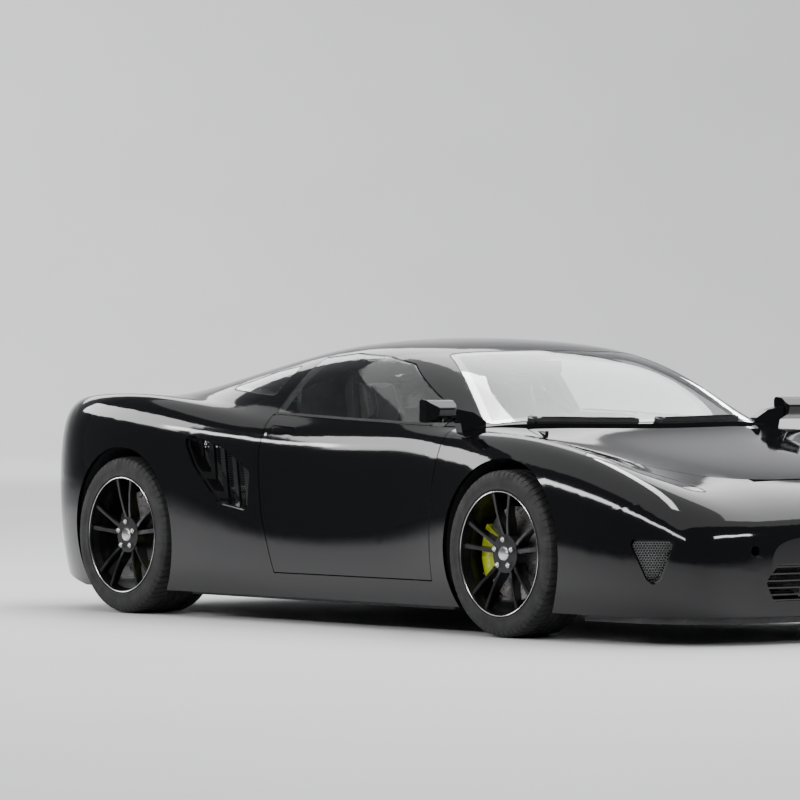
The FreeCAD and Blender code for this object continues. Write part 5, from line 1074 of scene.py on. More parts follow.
def dress_cowl():
    """Wiper arms, rubbers and pivots, washers, and thin near-black marks of painted shade for the
    slots in the cowl.
    """
    cowl = Skin("cowl_panel", "wipers")
    screen = Skin("bonded_glass")
    arms = Shape()
    rubber = Shape()
    for start, end in ((-0.56, -0.03), (0.06, 0.59)):
        top, _ = cowl.top(cowl_line(WIPER_X, start + 0.03), start + 0.03)
        arms.lathe([(0, 0.012), (0.009, 0.012), (0.012, 0.008), (0.013, -0.004)],
                   top - Vector((0, 0, 0.006)), UP, 20)
        ys = [start + 0.06 + (end - start - 0.08) * i / 14 for i in range(15)]
        traced = cowl.trace([(cowl_line(WIPER_X, y), y, 2.0) for y in ys], DOWN)
        arms.sweep([point + Vector((0, 0, 0.0008)) for point, _ in traced], band(0.009, 0.0035))
        ys = [start + 0.05 + (end - start - 0.05) * i / 23 for i in range(24)]
        traced = screen.trace([(cowl_line(WIPER_X, y) - 0.012, y, 2.0) for y in ys], DOWN, 0.0022)
        rubber.tube([point for point, _ in traced], 0.0019, 6)
    arms.piece("wiper_arms", "plastic", bevel=0.0008)
    rubber.piece("wiper_rubbers", "seal", sharp=50)
    panel = Skin("cowl_panel")
    washers = Shape()
    for y in (-0.28, 0.28):
        point, normal = panel.top(cowl_line(1.010, y), y)
        washers.lathe([(0, 0.0035), (0.005, 0.003), (0.008, 0.0)], point, normal, 16)
    washers.piece("screen_washers", "plastic", sharp=50)
    # The cowl's slots are thin near-black plates on its top: painted shade where the openings
    # would be.
    slots = Shape()
    for y in [0.014 * i for i in range(-28, 29) if abs(abs(0.014 * i) - 0.28) > 0.02]:
        point, normal = panel.top(cowl_line(1.006, y), y)
        slots.prism(rounded(0.004, 0.022, 0.0018, 3), 0.0007, point - normal * 0.0001, LEFT,
                    AHEAD)
    slots.piece("cowl_slot_shades", "seal", sharp=50)


def dress_flanks():
    """A dark band of painted shade round the fuel flap, standing in for its gap; door locks and
    the bolts of the floor.
    """
    # The flap's outline is a near-black band on the panel: painted shade where the gap would be.
    flap = [(-0.80 + 0.062 * math.cos(a), 1.5, 0.872 + 0.052 * math.sin(a)) for a in turns(48)]
    Shape().follow(Skin("rear_quarter_left").trace(flap, RIGHT), band(0.0028, 0.0002),
                   True).piece("fuel_flap_gap_shade", "seal", sharp=60)
    for name, side in SIDES:
        place, normal = Skin(f"door_{name}").hit((-0.452, side * 1.5, 0.80), (0, -side, 0))
        lock = Shape().lathe([(0, 0.0008), (0.0065, 0.0008), (0.0085, 0.0002)], place, normal, 24)
        lock.prism(rounded(0.0015, 0.008, 0.0006, 2), 0.0004, place + normal * 0.0007)
        lock.piece(f"door_lock_{name}", "steel", f"door_{name}", sharp=50)
    heads = Shape()
    starts = [(-1.75 + 0.30 * i, side * y, -0.5) for side in (-1, 1) for i in range(14)
              for y in (0.30, 0.72)]
    for point, normal in Skin("underfloor").trace(starts, UP):
        heads.lathe(FLOOR_BOLT, point, normal, 6)
    heads.piece("underfloor_bolts", "steel", sharp=40)


def dress_tail():
    """Sooty exhaust bores with polished lips, plate lamps, reflectors and sensors."""
    def bore(centre, normal):
        near = min(abs(math.hypot(centre.y - y, centre.z - TAIL_PIPE_Z)) for y in TAIL_PIPES)
        return near < 0.0435 and -2.2845 < centre.x < -2.10

    repaint("exhaust", "seal", bore)
    lips = Shape()
    for y in TAIL_PIPES:
        place = (TAIL_PIPE_X, y, TAIL_PIPE_Z)
        lips.lathe([(0.0415, 0.0), (0.0425, -0.0012), (0.0445, -0.0016), (0.0462, -0.0006),
                    (0.0466, 0.004), (0.0466, 0.020), (0.0461, 0.021)], place, AHEAD, 56)
        lips.lathe([(0.0462, 0.045), (0.0468, 0.046), (0.0468, 0.050), (0.0462, 0.051)], place,
                   AHEAD, 56)
    lips.piece("exhaust_lips", "chrome", sharp=50)
    lamps = Shape()
    for y in (-0.09, 0.09):
        lamps.prism(rounded(0.036, 0.010, 0.004), 0.006, (-2.262, y, 0.6145), LEFT, AHEAD)
    lamps.piece("plate_lamps", "lamp_glass", sharp=50)
    tail = Skin("rear_bumper")
    reflectors = Shape()
    sensors = Shape()
    for side in (-1, 1):
        row = evenly([(BEHIND_CAR, side * y, 0.60) for y in (0.72, 0.80)], 0.01)
        reflectors.follow(tail.trace(row, AHEAD), band(0.016, 0.0008))
        for y in (0.36, 0.72):
            point, normal = tail.hit((BEHIND_CAR, side * y, 0.655), AHEAD)
            sensors.lathe([(0, 0.0001), (0.0085, 0.0001), (0.0092, -0.0002)], point, normal, 24)
    reflectors.piece("tail_reflectors", "red_glow", sharp=50)
    sensors.piece("parking_sensors", "gloss_plastic", sharp=50)


# Seats

# Each pad's facing and the half width of its sewn panel, from the lowest pad up
PADS = {
    "seat": ((0.12, 0, 1), 0.125),
    "back": ((1, 0, 0.38), 0.120),
    "head": ((1, 0, 0.2), 0.062),
}
START_SHARE = 0.975
VOXEL = 0.008
SWELL_STEPS = 20
SWELL_PRESSURE = 4.0
SWELL_CAP = 0.012
SEAM_DEPTH = 0.006
SEAM_HALF = 0.005
CHANNELS = 9
CHANNEL_DEPTH = 0.0045
CHANNEL_ENDS = 0.10
STITCH_OFFSET = 0.006
SEAT_SEAM_STEPS = 40


def loose_parts(node):
    """The separate closed bodies of a CAD node as lists of points and faces."""
    edit = bmesh.new()
    edit.from_mesh(NODES[node].data)
    bmesh.ops.remove_doubles(edit, verts=edit.verts, dist=WELD)
    seen = set()
    found = []
    for first in edit.verts:
        if first in seen:
            continue
        order = {first: 0}
        front = [first]
        while front:
            for edge in front.pop().link_edges:
                for vertex in edge.verts:
                    if vertex not in order:
                        order[vertex] = len(order)
                        front.append(vertex)
        seen.update(order)
        found.append(([vertex.co.copy() for vertex in order],
                      [tuple(order[vertex] for vertex in face.verts) for face in edit.faces
                       if face.verts[0] in order]))
    edit.free()
    return found


def evaluated(obj):
    """The object's mesh with its modifiers applied."""
    graph = bpy.context.evaluated_depsgraph_get()
    return bpy.data.meshes.new_from_object(obj.evaluated_get(graph))


def swollen(points, faces, facing):
    """A pad's skin after a short cloth simulation under pressure, held where it rests."""
    middle = sum(points, Vector()) / len(points)
    mesh = bpy.data.meshes.new("pad_start")
    mesh.from_pydata([middle + (point - middle) * START_SHARE for point in points], [], faces)
    obj = link(bpy.data.objects.new("pad_start", mesh))
    remesh = obj.modifiers.new("remesh", "REMESH")
    remesh.mode = "VOXEL"
    remesh.voxel_size = VOXEL
    fine = evaluated(obj)
    obj.modifiers.clear()
    obj.data = fine
    start = [vertex.co.copy() for vertex in fine.vertices]
    normals = [vertex.normal.copy() for vertex in fine.vertices]
    ends = start
    cloth = obj.modifiers.new("cloth", "CLOTH")
    cloth.settings.use_pressure = True
    cloth.settings.uniform_pressure_force = SWELL_PRESSURE
    cloth.settings.effector_weights.gravity = 0.0
    cloth.settings.quality = 4
    for frame_number in range(1, SWELL_STEPS + 1):
        bpy.context.scene.frame_set(frame_number)
    ends = [vertex.co.copy() for vertex in evaluated(obj).vertices]
    bpy.context.scene.frame_set(1)
    moved = []
    for point, end, normal in zip(start, ends, normals):
        shift = end - point
        if shift.length > SWELL_CAP:
            shift *= SWELL_CAP / shift.length
        moved.append(point + shift * min(1.0, max(0.0, 0.25 + 1.2 * normal.dot(facing))))
    faces = [tuple(polygon.vertices) for polygon in fine.polygons]
    bpy.data.objects.remove(obj)
    return moved, faces


def sewn(points, faces, facing, along, kind, middle_y):
    """Sinks the sewn channels and the seams beside them into a pad."""
    normals = [Vector() for _ in points]
    for face in faces:
        a, b, c = (points[index] for index in face[:3])
        turn = (b - a).cross(c - a).normalized()
        for index in face:
            normals[index] += turn
    panel = PADS[kind][1]
    reaches = [point.dot(along) for point in points]
    low, high = min(reaches), max(reaches)
    shaped = []
    for point, normal, reach in zip(points, normals, reaches):
        across = abs(point.y - middle_y)
        share = (reach - low) / (high - low)
        sink = SEAM_DEPTH * math.exp(-((across - panel) / SEAM_HALF) ** 2)
        if kind != "head" and across < panel and CHANNEL_ENDS < share < 1 - CHANNEL_ENDS:
            phase = (share - CHANNEL_ENDS) / (1 - 2 * CHANNEL_ENDS) * CHANNELS
            sink += CHANNEL_DEPTH * math.exp(-(abs(phase - round(phase)) * 3.4) ** 2)
        normal = normal.normalized()
        shaped.append(point - normal * sink * min(1.0, max(0.0, normal.dot(facing)) * 1.6))
    return shaped, low, high


def make_seats():
    """Padded seats: suede channels between leather bolsters, with sewn seams."""
    parts = [part for part in loose_parts("seat_cushions")
             if sum(point.y for point in part[0]) > 0]
    parts.sort(key=lambda part: sum(point.z for point in part[0]) / len(part[0]))
    for (points, faces), (kind, (facing, panel)) in zip(parts, PADS.items()):
        facing = Vector(facing).normalized()
        along = Vector((facing.z, 0, -facing.x)).normalized()
        middle_y = (min(p.y for p in points) + max(p.y for p in points)) / 2
        points, faces = swollen(points, faces, facing)
        points, low, high = sewn(points, faces, facing, along, kind, middle_y)
        for name, side in SIDES:
            pad = Shape().add([(p.x, p.y if side > 0 else p.y - 2 * middle_y, p.z)
                               for p in points], faces).piece(
                f"{kind}_pad_{name}", "leather", sharp=180, smooth=1)
            pad.data.materials.append(FINISHES["suede"][1])
            for polygon in pad.data.polygons:
                near = abs(polygon.center.y - side * middle_y) < panel
                if near and polygon.normal.dot(facing) > 0.2:
                    polygon.material_index = 1
            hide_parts("seat_cushions")
            skin = Skin(objects=[pad])
            outside = facing * (Vector((points[0].x, 0, points[0].z)).dot(facing) + 0.6)
            lines = Shape()
            for edge, shift in ((-panel, -STITCH_OFFSET), (panel, STITCH_OFFSET),
                                (-panel, STITCH_OFFSET), (panel, -STITCH_OFFSET)):
                starts = []
                for i in range(SEAT_SEAM_STEPS + 1):
                    reach = low + (high - low) * (0.06 + 0.88 * i / SEAT_SEAM_STEPS)
                    starts.append(along * reach + outside
                                  + Vector((0, side * middle_y + edge + shift, 0)))
                lines.sew(skin.trace(starts, -facing), gap=0.003)
            lines.piece(f"{kind}_stitches_{name}", "thread", sharp=60)


BELT_LEAN = (0.94, 0, 0.34)


def make_belts():
    """Lap and shoulder belts at rest, with buckles and anchor plates."""
    for name, side in SIDES:
        outer = side * (DRIVER_Y + 0.262)
        inner = side * (DRIVER_Y - 0.262)
        path = bowed([(-0.482, outer, 0.94), (-0.478, outer, 0.80), (-0.462, outer, 0.60),
                      (-0.452, outer, 0.40), (-0.448, outer, 0.26)], 0.03)
        Shape().sweep(path, [(-0.023, -0.0006), (0.023, -0.0006), (0.023, 0.0006),
                             (-0.023, 0.0006)], up=(0, -side, 0)).piece(
            f"belt_{name}", "webbing", sharp=60)
        Shape().prism(rounded(0.055, 0.040, 0.008), 0.004,
                      (-0.450, outer - side * 0.002, 0.25)).piece(
            f"belt_anchor_{name}", "steel", bevel=0.001)
        Shape().prism(rounded(0.030, 0.075, 0.007), 0.020, (-0.10, inner + 0.010, 0.395),
                      BELT_LEAN, (-0.34, 0, 0.94)).piece(
            f"belt_buckle_{name}", "plastic", bevel=0.002)
        Shape().prism(rounded(0.020, 0.012, 0.003), 0.012, (-0.1145, inner + 0.006, 0.4345),
                      BELT_LEAN, LEFT).piece(f"belt_release_{name}", "red_glow", bevel=0.001)


# Steering wheel, dashboard, console, floor and doors

# Rows of (height, share) for soft and moulded forms that close towards their middle
STEERING_PAD = ((-0.002, 0.94), (-0.010, 1.0), (-0.022, 0.97), (-0.030, 0.84), (-0.033, 0.55),
                (-0.0335, 0.02))
GAITER = ((0.001, 1.0), (0.006, 0.93), (0.018, 0.72), (0.032, 0.60), (0.036, 0.50),
          (0.052, 0.32), (0.060, 0.22), (0.074, 0.12))
CONSOLE_REST = ((0.0, 0.97), (0.014, 1.0), (0.028, 0.96), (0.036, 0.82), (0.039, 0.4),
                (0.040, 0.02))
FLOOR_MAT = ((0.0, 1.0), (0.006, 1.0), (0.008, 0.985), (0.0082, 0.5), (0.0082, 0.02))
DOOR_REST = ((0.0, 1.0), (0.020, 1.0), (0.034, 0.95), (0.042, 0.82), (0.045, 0.40),
             (0.0455, 0.02))
# Flat plates on the steering wheel, as outlines of (y, z) in its own plane
SPOKE = ((0.052, 0.018), (0.150, 0.011), (0.150, -0.013), (0.052, -0.020))
LOW_SPOKE = ((-0.015, -0.045), (0.015, -0.045), (0.011, -0.150), (-0.011, -0.150))
PADDLE = ((0.060, 0.030), (0.118, 0.052), (0.132, 0.020), (0.128, -0.020), (0.070, -0.010))
RIM_SEAM_RADIUS = 0.1566
# Gauges: y, z and radius; the needle rests at the start of the scale
GAUGES = ((0.300, 0.838, 0.030), (0.365, 0.840, 0.037), (0.430, 0.838, 0.030))
GAUGE_TICKS = 24
VENTS = ((0.60, 0.765), (-0.60, 0.765), (0.075, 0.752), (-0.075, 0.752))
VENT_RADIUS = 0.028
GLOVEBOX = ((-0.60, 0.575), (-0.22, 0.575), (-0.22, 0.690), (-0.60, 0.690))
CUP_PLACES = (-0.02, -0.115)
# Pedals: y, width, height and z
PEDALS = ((0.300, 0.045, 0.120, 0.255), (0.375, 0.062, 0.060, 0.300),
          (0.455, 0.058, 0.060, 0.300))
PEDAL_LEAN = Vector((0.45, 0, 0.893))
MAT_PLACE = Vector((0.545, 0.355, FLOOR_TOP))
DOOR_SEAM = ((0.46, 0, 0.70), (0.30, 0, 0.745), (0.0, 0, 0.76), (-0.28, 0, 0.76))


def column_point(x, y, z):
    """A point of the steering wheel: x along its column, y and z across it."""
    turned = Vector((x * math.cos(COLUMN_TILT) + z * math.sin(COLUMN_TILT), y,
                     -x * math.sin(COLUMN_TILT) + z * math.cos(COLUMN_TILT)))
    return WHEEL_CENTRE + turned


def make_steering_wheel():
    """Hub pad, spoke plates, switches, shift paddles and the rim's seams."""
    Shape().crown(rounded(0.125, 0.098, 0.038, 8), STEERING_PAD,
                  lambda a, b, depth: column_point(depth, a, b - 0.004)).piece(
        "steering_pad", "leather", "steering_wheel", sharp=60)
    plates = Shape()
    switches = Shape()

    def plate(outline, side, front, back):
        plates.slab(*([column_point(depth, side * a, b) for a, b in outline]
                      for depth in (front, back)))

    for side in (-1, 1):
        plate(SPOKE, side, -0.004, 0.002)
        plate(PADDLE, side, 0.026, 0.030)
        for k in range(3):
            switches.prism(rounded(0.017, 0.013, 0.004), 0.0035,
                           column_point(-0.0035, side * (0.078 + 0.022 * k), 0.0), RIGHT,
                           (math.sin(COLUMN_TILT), 0, math.cos(COLUMN_TILT)))
    plate(LOW_SPOKE, 1, -0.004, 0.002)
    plates.piece("steering_spoke_plates", "satin", "steering_wheel", bevel=0.0015)
    switches.piece("steering_switches", "plastic", "steering_wheel", bevel=0.0008)
    seam = []
    for angle in turns(120) + [TURN]:
        point = column_point(0.0, RIM_SEAM_RADIUS * math.sin(angle),
                             RIM_SEAM_RADIUS * math.cos(angle))
        seam.append((point, WHEEL_CENTRE - point))
    Shape().sew(seam, 0.005, 0.004, 0.0008).piece("steering_stitches", "thread",
                                                  "steering_wheel", sharp=60)
    stalks = Shape()
    for side in (-1, 1):
        start = column_point(0.085, side * 0.030, 0.012)
        end = column_point(0.055, side * 0.135, 0.030)
        stalks.tube([start, start.lerp(end, 0.25), start.lerp(end, 0.75), end], 0.0055, 10)
        stalks.lathe([(0, 0.012), (0.006, 0.011), (0.0075, 0.004), (0.0070, -0.018)], end,
                     end - start, 14)
    stalks.piece("column_stalks", "plastic", sharp=45)


def make_dial(shape, marks, place, across, up, radius):
    """A round gauge: its face, a raised ring, tick marks and a needle."""
    out = across.cross(up).normalized()

    def spoke(degrees):
        angle = math.radians(degrees)
        return up * math.cos(angle) + across * math.sin(angle)

    shape.lathe([(radius, 0.0), (radius, 0.004), (radius * 0.93, 0.005), (radius * 0.91, 0.001),
                 (0.0, 0.001)], place, out)
    for i in range(GAUGE_TICKS + 1):
        way = spoke(-130 + 260 * i / GAUGE_TICKS)
        length, half = (0.16, 0.0009) if i % 3 == 0 else (0.08, 0.0005)
        wide = way.cross(out) * half
        a = place + way * radius * 0.84 + out * 0.0014
        b = place + way * radius * (0.84 - length) + out * 0.0014
        marks.add([a - wide, a + wide, b + wide, b - wide], [(0, 1, 2, 3)])
    way = spoke(-128)
    wide = way.cross(out) * 0.0012
    tail = place - way * radius * 0.15 + out * 0.003
    marks.add([tail - wide, tail + wide, place + way * radius * 0.80 + out * 0.003],
              [(0, 1, 2)])
    marks.lathe([(0, 0.0045), (radius * 0.09, 0.004), (radius * 0.1, 0.001)], place, out, 20)


def slope_of(normal):
    """The upward direction in a face that looks back into the cabin."""
    slope = Vector(LEFT).cross(normal)
    return slope if slope.z > 0 else -slope


def make_dashboard():
    """Instruments, centre screen, vents, switches and sewn seams on the dashboard."""
    skin = Skin("dashboard")

    def on(y, z):
        return skin.hit((0.0, y, z), AHEAD)

    faces = Shape()
    marks = Shape()
    for y, z, radius in GAUGES:
        make_dial(faces, marks, on(y, z)[0] + Vector((-0.004, 0, 0)), Vector(RIGHT),
                  Vector((-0.30, 0, 0.954)), radius)
    faces.piece("instruments", "dial", sharp=40)
    marks.piece("instrument_marks", "marks", sharp=40)
    point, normal = on(0.0, 0.590)
    face_up = slope_of(normal)
    Shape().prism(rounded(0.168, 0.094, 0.008), 0.009, point + normal * 0.001, RIGHT,
                  face_up).piece("centre_screen", "screen", bevel=0.0015)
    trim = Shape().tube([point + normal * 0.0095 + Vector((0, a, 0)) + face_up * b
                         for a, b in rounded(0.176, 0.102, 0.011)], 0.0022, 6, closed=True)
    knobs = Shape()
    for y in (-0.058, 0.0, 0.058):
        place, facing = on(y, 0.492)
        knobs.lathe([(0, 0.020), (0.0125, 0.019), (0.0150, 0.016), (0.0158, 0.003),
                     (0.0190, 0.001), (0.0190, 0)], place, facing, 28)
        trim.lathe([(0.0200, 0.0015), (0.0215, 0.0025), (0.0230, 0.0)], place, facing, 32)
    for i in range(6):
        place, facing = on(-0.0725 + 0.029 * i, 0.527)
        knobs.prism(rounded(0.024, 0.012, 0.002), 0.003, place, RIGHT, slope_of(facing))
    knobs.piece("dash_switches", "plastic", bevel=0.0006, sharp=45)
    vents = Shape()
    for y, z in VENTS:
        place, facing = on(y, z)
        trim.lathe([(0.0300, 0.0), (0.0335, 0.005), (0.0375, 0.004), (0.0385, 0.0)], place,
                   facing)
        vents.lathe([(0.0300, 0.002), (0.0290, 0.0005), (0.0, 0.0005)], place, facing, 40)
        slope = Vector(LEFT).cross(facing)
        for k in range(-2, 3):
            half = math.sqrt(VENT_RADIUS ** 2 - (0.0105 * k) ** 2)
            vents.prism(rounded(2 * half, 0.0022, 0.001, 2), 0.004,
                        place + slope * 0.0105 * k + facing * 0.002, RIGHT, slope)
        vents.lathe([(0, 0.008), (0.006, 0.0075), (0.0075, 0.001)], place, facing, 16)
    trim.piece("dash_trim", "steel", sharp=50)
    vents.piece("dash_vents", "gloss_plastic", sharp=40)
    seams = Shape()
    for x in (0.535, 0.545):
        for run in (range(-66, 19, 2), range(54, 67, 2)):
            seams.sew(skin.trace([(x, y / 100, 1.1) for y in run], DOWN))
    seams.piece("dash_stitches", "thread", sharp=60)
    # The glovebox's shut line is a thin near-black band on the dashboard: painted shade standing
    # in for the gap.
    gap = evenly([(0.0, y, z) for y, z in GLOVEBOX], 0.012, closed=True)
    Shape().follow(skin.trace(gap, AHEAD), band(0.0025, 0.0006), True).piece(
        "glovebox_gap_shade", "seal", sharp=60)


def make_console():
    """Gear lever in its gaiter, switches, cup rings, armrest and sewn edges."""
    skin = Skin("centre_console")
    place, _ = skin.top(0.20, 0.0)
    Shape().crown(rounded(0.105, 0.105, 0.020, 6), GAITER,
                  lambda a, b, height: place + Vector((a, b, height))).piece(
        "gear_gaiter", "leather", sharp=60)
    lever = Shape().tube([place + Vector((0, 0, 0.06)), place + Vector((-0.002, 0, 0.115))],
                         0.0055, 14)
    lever.lathe([(0.0, 0.052), (0.012, 0.050), (0.0195, 0.043), (0.0235, 0.032),
                 (0.0225, 0.018), (0.0150, 0.004), (0.0085, 0.0)],
                place + Vector((-0.002, 0, 0.108)), UP, 32)
    lever.tube([place + Vector((a, b, 0.0015)) for a, b in rounded(0.112, 0.112, 0.022, 6)],
               0.0025, 8, closed=True)
    lever.piece("gear_lever", "steel", sharp=40)
    cups = Shape()
    well_shade = Shape()
    for x in CUP_PLACES:
        point, facing = skin.top(x, 0.0)
        cups.lathe([(0.0360, 0.0), (0.0385, 0.0035), (0.0425, 0.0035), (0.0440, 0.0)], point,
                   facing, 40)
        # Inside each ring a flat near-black disc: painted shade that stands in for the hollow of
        # the cup holder.
        well_shade.lathe([(0.0, 0.0006), (0.0360, 0.0006), (0.0365, 0.0)], point, facing, 40)
    cups.piece("cup_rings", "steel", sharp=50)
    well_shade.piece("cup_well_shade", "seal", sharp=50)
    buttons = Shape()
    for i in range(5):
        for side in (-1, 1):
            buttons.prism(rounded(0.022, 0.040, 0.003), 0.003,
                          skin.top(0.305 + 0.028 * i, side * 0.032)[0], AHEAD, LEFT)
    buttons.piece("console_switches", "plastic", bevel=0.0007)
    rest = Shape().crown(rounded(0.26, 0.165, 0.04, 8), CONSOLE_REST,
                         lambda a, b, height: Vector((-0.335 + a, b, 0.401 + height)))
    rest.piece("armrest", "leather", sharp=70)
    seams = Shape()
    for side in (-1, 1):
        seams.sew(skin.trace([(x / 100, side * 0.076, 1.0) for x in range(-16, 45, 2)], DOWN))
    seams.piece("console_stitches", "thread", sharp=60)


def make_floor_trim():
    """Mats and pedals."""
    outline = rounded(0.44, 0.40, 0.05, 6)
    for name, side in SIDES:
        middle = Vector((MAT_PLACE.x, side * MAT_PLACE.y, MAT_PLACE.z))
        Shape().crown(outline, FLOOR_MAT,
                      lambda a, b, height: middle + Vector((a, b, 0.0004 + height))).piece(
            f"floor_mat_{name}", "carpet", sharp=60)
        Shape().tube([middle + Vector((a, b, 0.005)) for a, b in outline], 0.0035, 8,
                     closed=True).piece(f"mat_binding_{name}", "leather", sharp=60)
    metal = Shape()
    rubber = Shape()
    for y, width, height, z in PEDALS:
        place = Vector((0.655, y, z))
        metal.prism(rounded(width, height, 0.010), 0.005, place, RIGHT, PEDAL_LEAN)
        for k in range(-2, 3):
            rubber.prism(rounded(width * 0.8, 0.0055, 0.002, 3), 0.0025,
                         place + PEDAL_LEAN * (height * 0.17 * k) + Vector((-0.0040, 0, 0.002)),
                         RIGHT, PEDAL_LEAN)
        metal.tube(bowed([place + Vector((0.004, 0, 0)), place + Vector((0.055, 0, 0.03)),
                          place + Vector((0.085, 0, 0.13)), (0.745, y, 0.50)]), 0.007, 10)
    metal.piece("pedals", "satin", bevel=0.001)
    rubber.piece("pedal_ribs", "seal", sharp=50)


def make_speaker(centre, facing):
    """A round grille with rings of holes."""
    shape = Shape().lathe([(0.0, 0.006), (0.040, 0.005), (0.066, 0.0025), (0.070, 0.004),
                           (0.078, 0.004), (0.081, 0.0)], centre, facing)
    out, up, _ = frame_about(facing)
    for row in range(1, 8):
        for angle in turns(row * 6):
            spot = centre + (out * math.cos(angle) + up * math.sin(angle)) * 0.0088 * row
            shape.lathe([(0.0025, 0.0068), (0.0030, 0.0072), (0.0035, 0.0056)], spot, facing, 6)
    return shape


def make_door_cards():
    """Armrest, grab handle, speaker and sewn panel inside each door."""
    for name, side in SIDES:
        door = f"door_{name}"
        skin = Skin(door)
        inward = Vector((0, -side, 0))
        base = skin.hit((0.05, side * 0.3, 0.60), -inward)[0]
        rest = Shape().crown(rounded(0.50, 0.085, 0.034, 8), DOOR_REST, lambda a, b, reach:
                             Vector((0.06 + a, base.y + inward.y * reach, 0.56 + b)))
        rest.piece(f"door_armrest_{name}", "leather", door, sharp=70)
        place = base + Vector((0.30, 0, 0.16)) + inward * 0.003
        metal = Shape().prism(rounded(0.105, 0.030, 0.012), 0.004, place, (side, 0, 0), UP)
        metal.tube(bowed([place + Vector((-0.04, 0, 0)) + inward * 0.002,
                          place + Vector((-0.03, 0, 0)) + inward * 0.018,
                          place + Vector((0.035, 0, 0)) + inward * 0.018], 0.008), 0.004, 8)
        metal.piece(f"door_pull_{name}", "steel", door, bevel=0.001)
        make_speaker(*skin.hit((0.42, side * 0.3, 0.40), -inward)).piece(
            f"door_speaker_{name}", "plastic", door, sharp=50)
        seams = Shape()
        for shift in (0.0, 0.009):
            seams.sew(skin.trace([(point.x, side * 0.3, point.z + shift)
                                  for point in evenly(DOOR_SEAM, 0.02)], -inward))
        seams.piece(f"door_stitches_{name}", "thread", door, sharp=60)


def line_cabin():
    """Finishes of the inner faces, sun visors and the interior mirror's glass."""
    def under_roof(centre, normal):
        outward = Vector((centre.x + 0.2, centre.y * 1.3, centre.z - 0.6)).normalized()
        return normal.dot(outward) < -0.25 and centre.x > -0.56

    def people(centre, normal):
        return (-0.513 < centre.x < 0.882 and abs(centre.y) < 0.692
                and 0.141 < centre.z < 0.90)

    def luggage(centre, normal):
        return (0.966 < centre.x < 1.695 and abs(centre.y) < 0.379
                and 0.306 < centre.z < 0.6395)

    def engine_side(centre, normal):
        return centre.x < -0.538 and centre.z > 0.3

    repaint("roof_frame", "suede", under_roof)
    for name, side in SIDES:
        repaint(f"door_{name}", "leather", lambda centre, normal:
                normal.y * side < -0.35 and abs(centre.y) < 0.90)
    repaint("chassis_tub", "carpet", people)
    repaint("chassis_tub", "carpet", luggage)
    repaint("chassis_tub", "dark_metal", engine_side)
    roof = Skin("roof_frame")
    visors = Shape()
    for side in (-1, 1):
        spots = [(0.20 + a, side * 0.31 + b) for a, b in rounded(0.15, 0.34, 0.03)]
        heights = [roof.hit((x, y, 0.8), UP)[0].z for x, y in spots]
        visors.grid([[(x, y, height - drop) for (x, y), height in zip(spots, heights)]
                     for drop in (0.010, 0.020)], loop_points=True, caps=True)
    visors.piece("sun_visors", "suede", bevel=0.003)
    Shape().prism(rounded(0.225, 0.042, 0.010), 0.0012, (0.2705, 0.0, 1.085), RIGHT, UP).piece(
        "interior_mirror_glass", "mirror", bevel=0.0004)


# Engine bay

HEAD_COVER = ((0.0, 1.0), (0.018, 1.0), (0.026, 0.97), (0.030, 0.90), (0.031, 0.4),
              (0.031, 0.02))
HEAD_PLACE = Vector((-0.90, 0.225, 0.672))
HEAD_TILT = 0.45
HEAD_RIB_Z = 0.7045
COVER_BOLT = ((0, 0.010), (0.0055, 0.010), (0.0060, 0.009), (0.0060, 0.003), (0.0085, 0.002),
              (0.0085, 0))
GEARBOX_BOLT = ((0, 0.011), (0.0058, 0.011), (0.0064, 0.010), (0.0064, 0.003), (0.0090, 0.002),
                (0.0090, 0))
# Routes on the left side, as (x, y, z) corners
RUNNER = ((0, 0.110, 0.745), (0, 0.155, 0.750), (0, 0.185, 0.735), (0, 0.192, 0.700))
AIR_PIPE = ((-1.095, 0.045, 0.745), (-1.22, 0.060, 0.745), (-1.285, 0.20, 0.735),
            (-1.20, 0.40, 0.72), (-1.05, 0.50, 0.70))
BRACE_BAR = ((-1.30, 0.50, 0.80), (-0.60, -0.06, 0.855))
BRACE_END = ((-0.60, 0.06, 0.855), (-0.545, 0.10, 0.858))
BRACE_RADIUS = 0.0125
AIR_BOX_Y = 0.54


def to_side(points, side, x=0.0):
    """A route on the left side, put on either side and moved along the car by x."""
    return [Vector((x + p[0], side * p[1], p[2])) for p in points]


def make_head_covers():
    """Ribbed covers with bolts over both cylinder banks."""
    covers = Shape()
    ribs = Shape()
    bolts = Shape()
    for side in (-1, 1):
        def on_bank(a, b, height):
            return Vector((HEAD_PLACE.x + a, side * HEAD_PLACE.y + b,
                           HEAD_PLACE.z + height - side * b * HEAD_TILT))

        covers.crown(rounded(0.50, 0.105, 0.022), HEAD_COVER, on_bank)
        for k in range(-2, 3):
            across = 0.017 * k
            ribs.sweep([(HEAD_PLACE.x + a, side * HEAD_PLACE.y + across,
                         HEAD_RIB_Z - across * HEAD_TILT) for a in (-0.20, 0.20)],
                       band(0.005, 0.005))
        for i in range(6):
            for edge in (-0.044, 0.044):
                bolts.lathe(COVER_BOLT, on_bank(-0.225 + 0.09 * i, edge, 0.0265),
                            (0, side * 0.4, 1), 6)
    covers.piece("head_covers", "crackle", sharp=50)
    ribs.piece("head_cover_ribs", "bright", bevel=0.001)
    bolts.piece("engine_bolts", "steel", sharp=40)


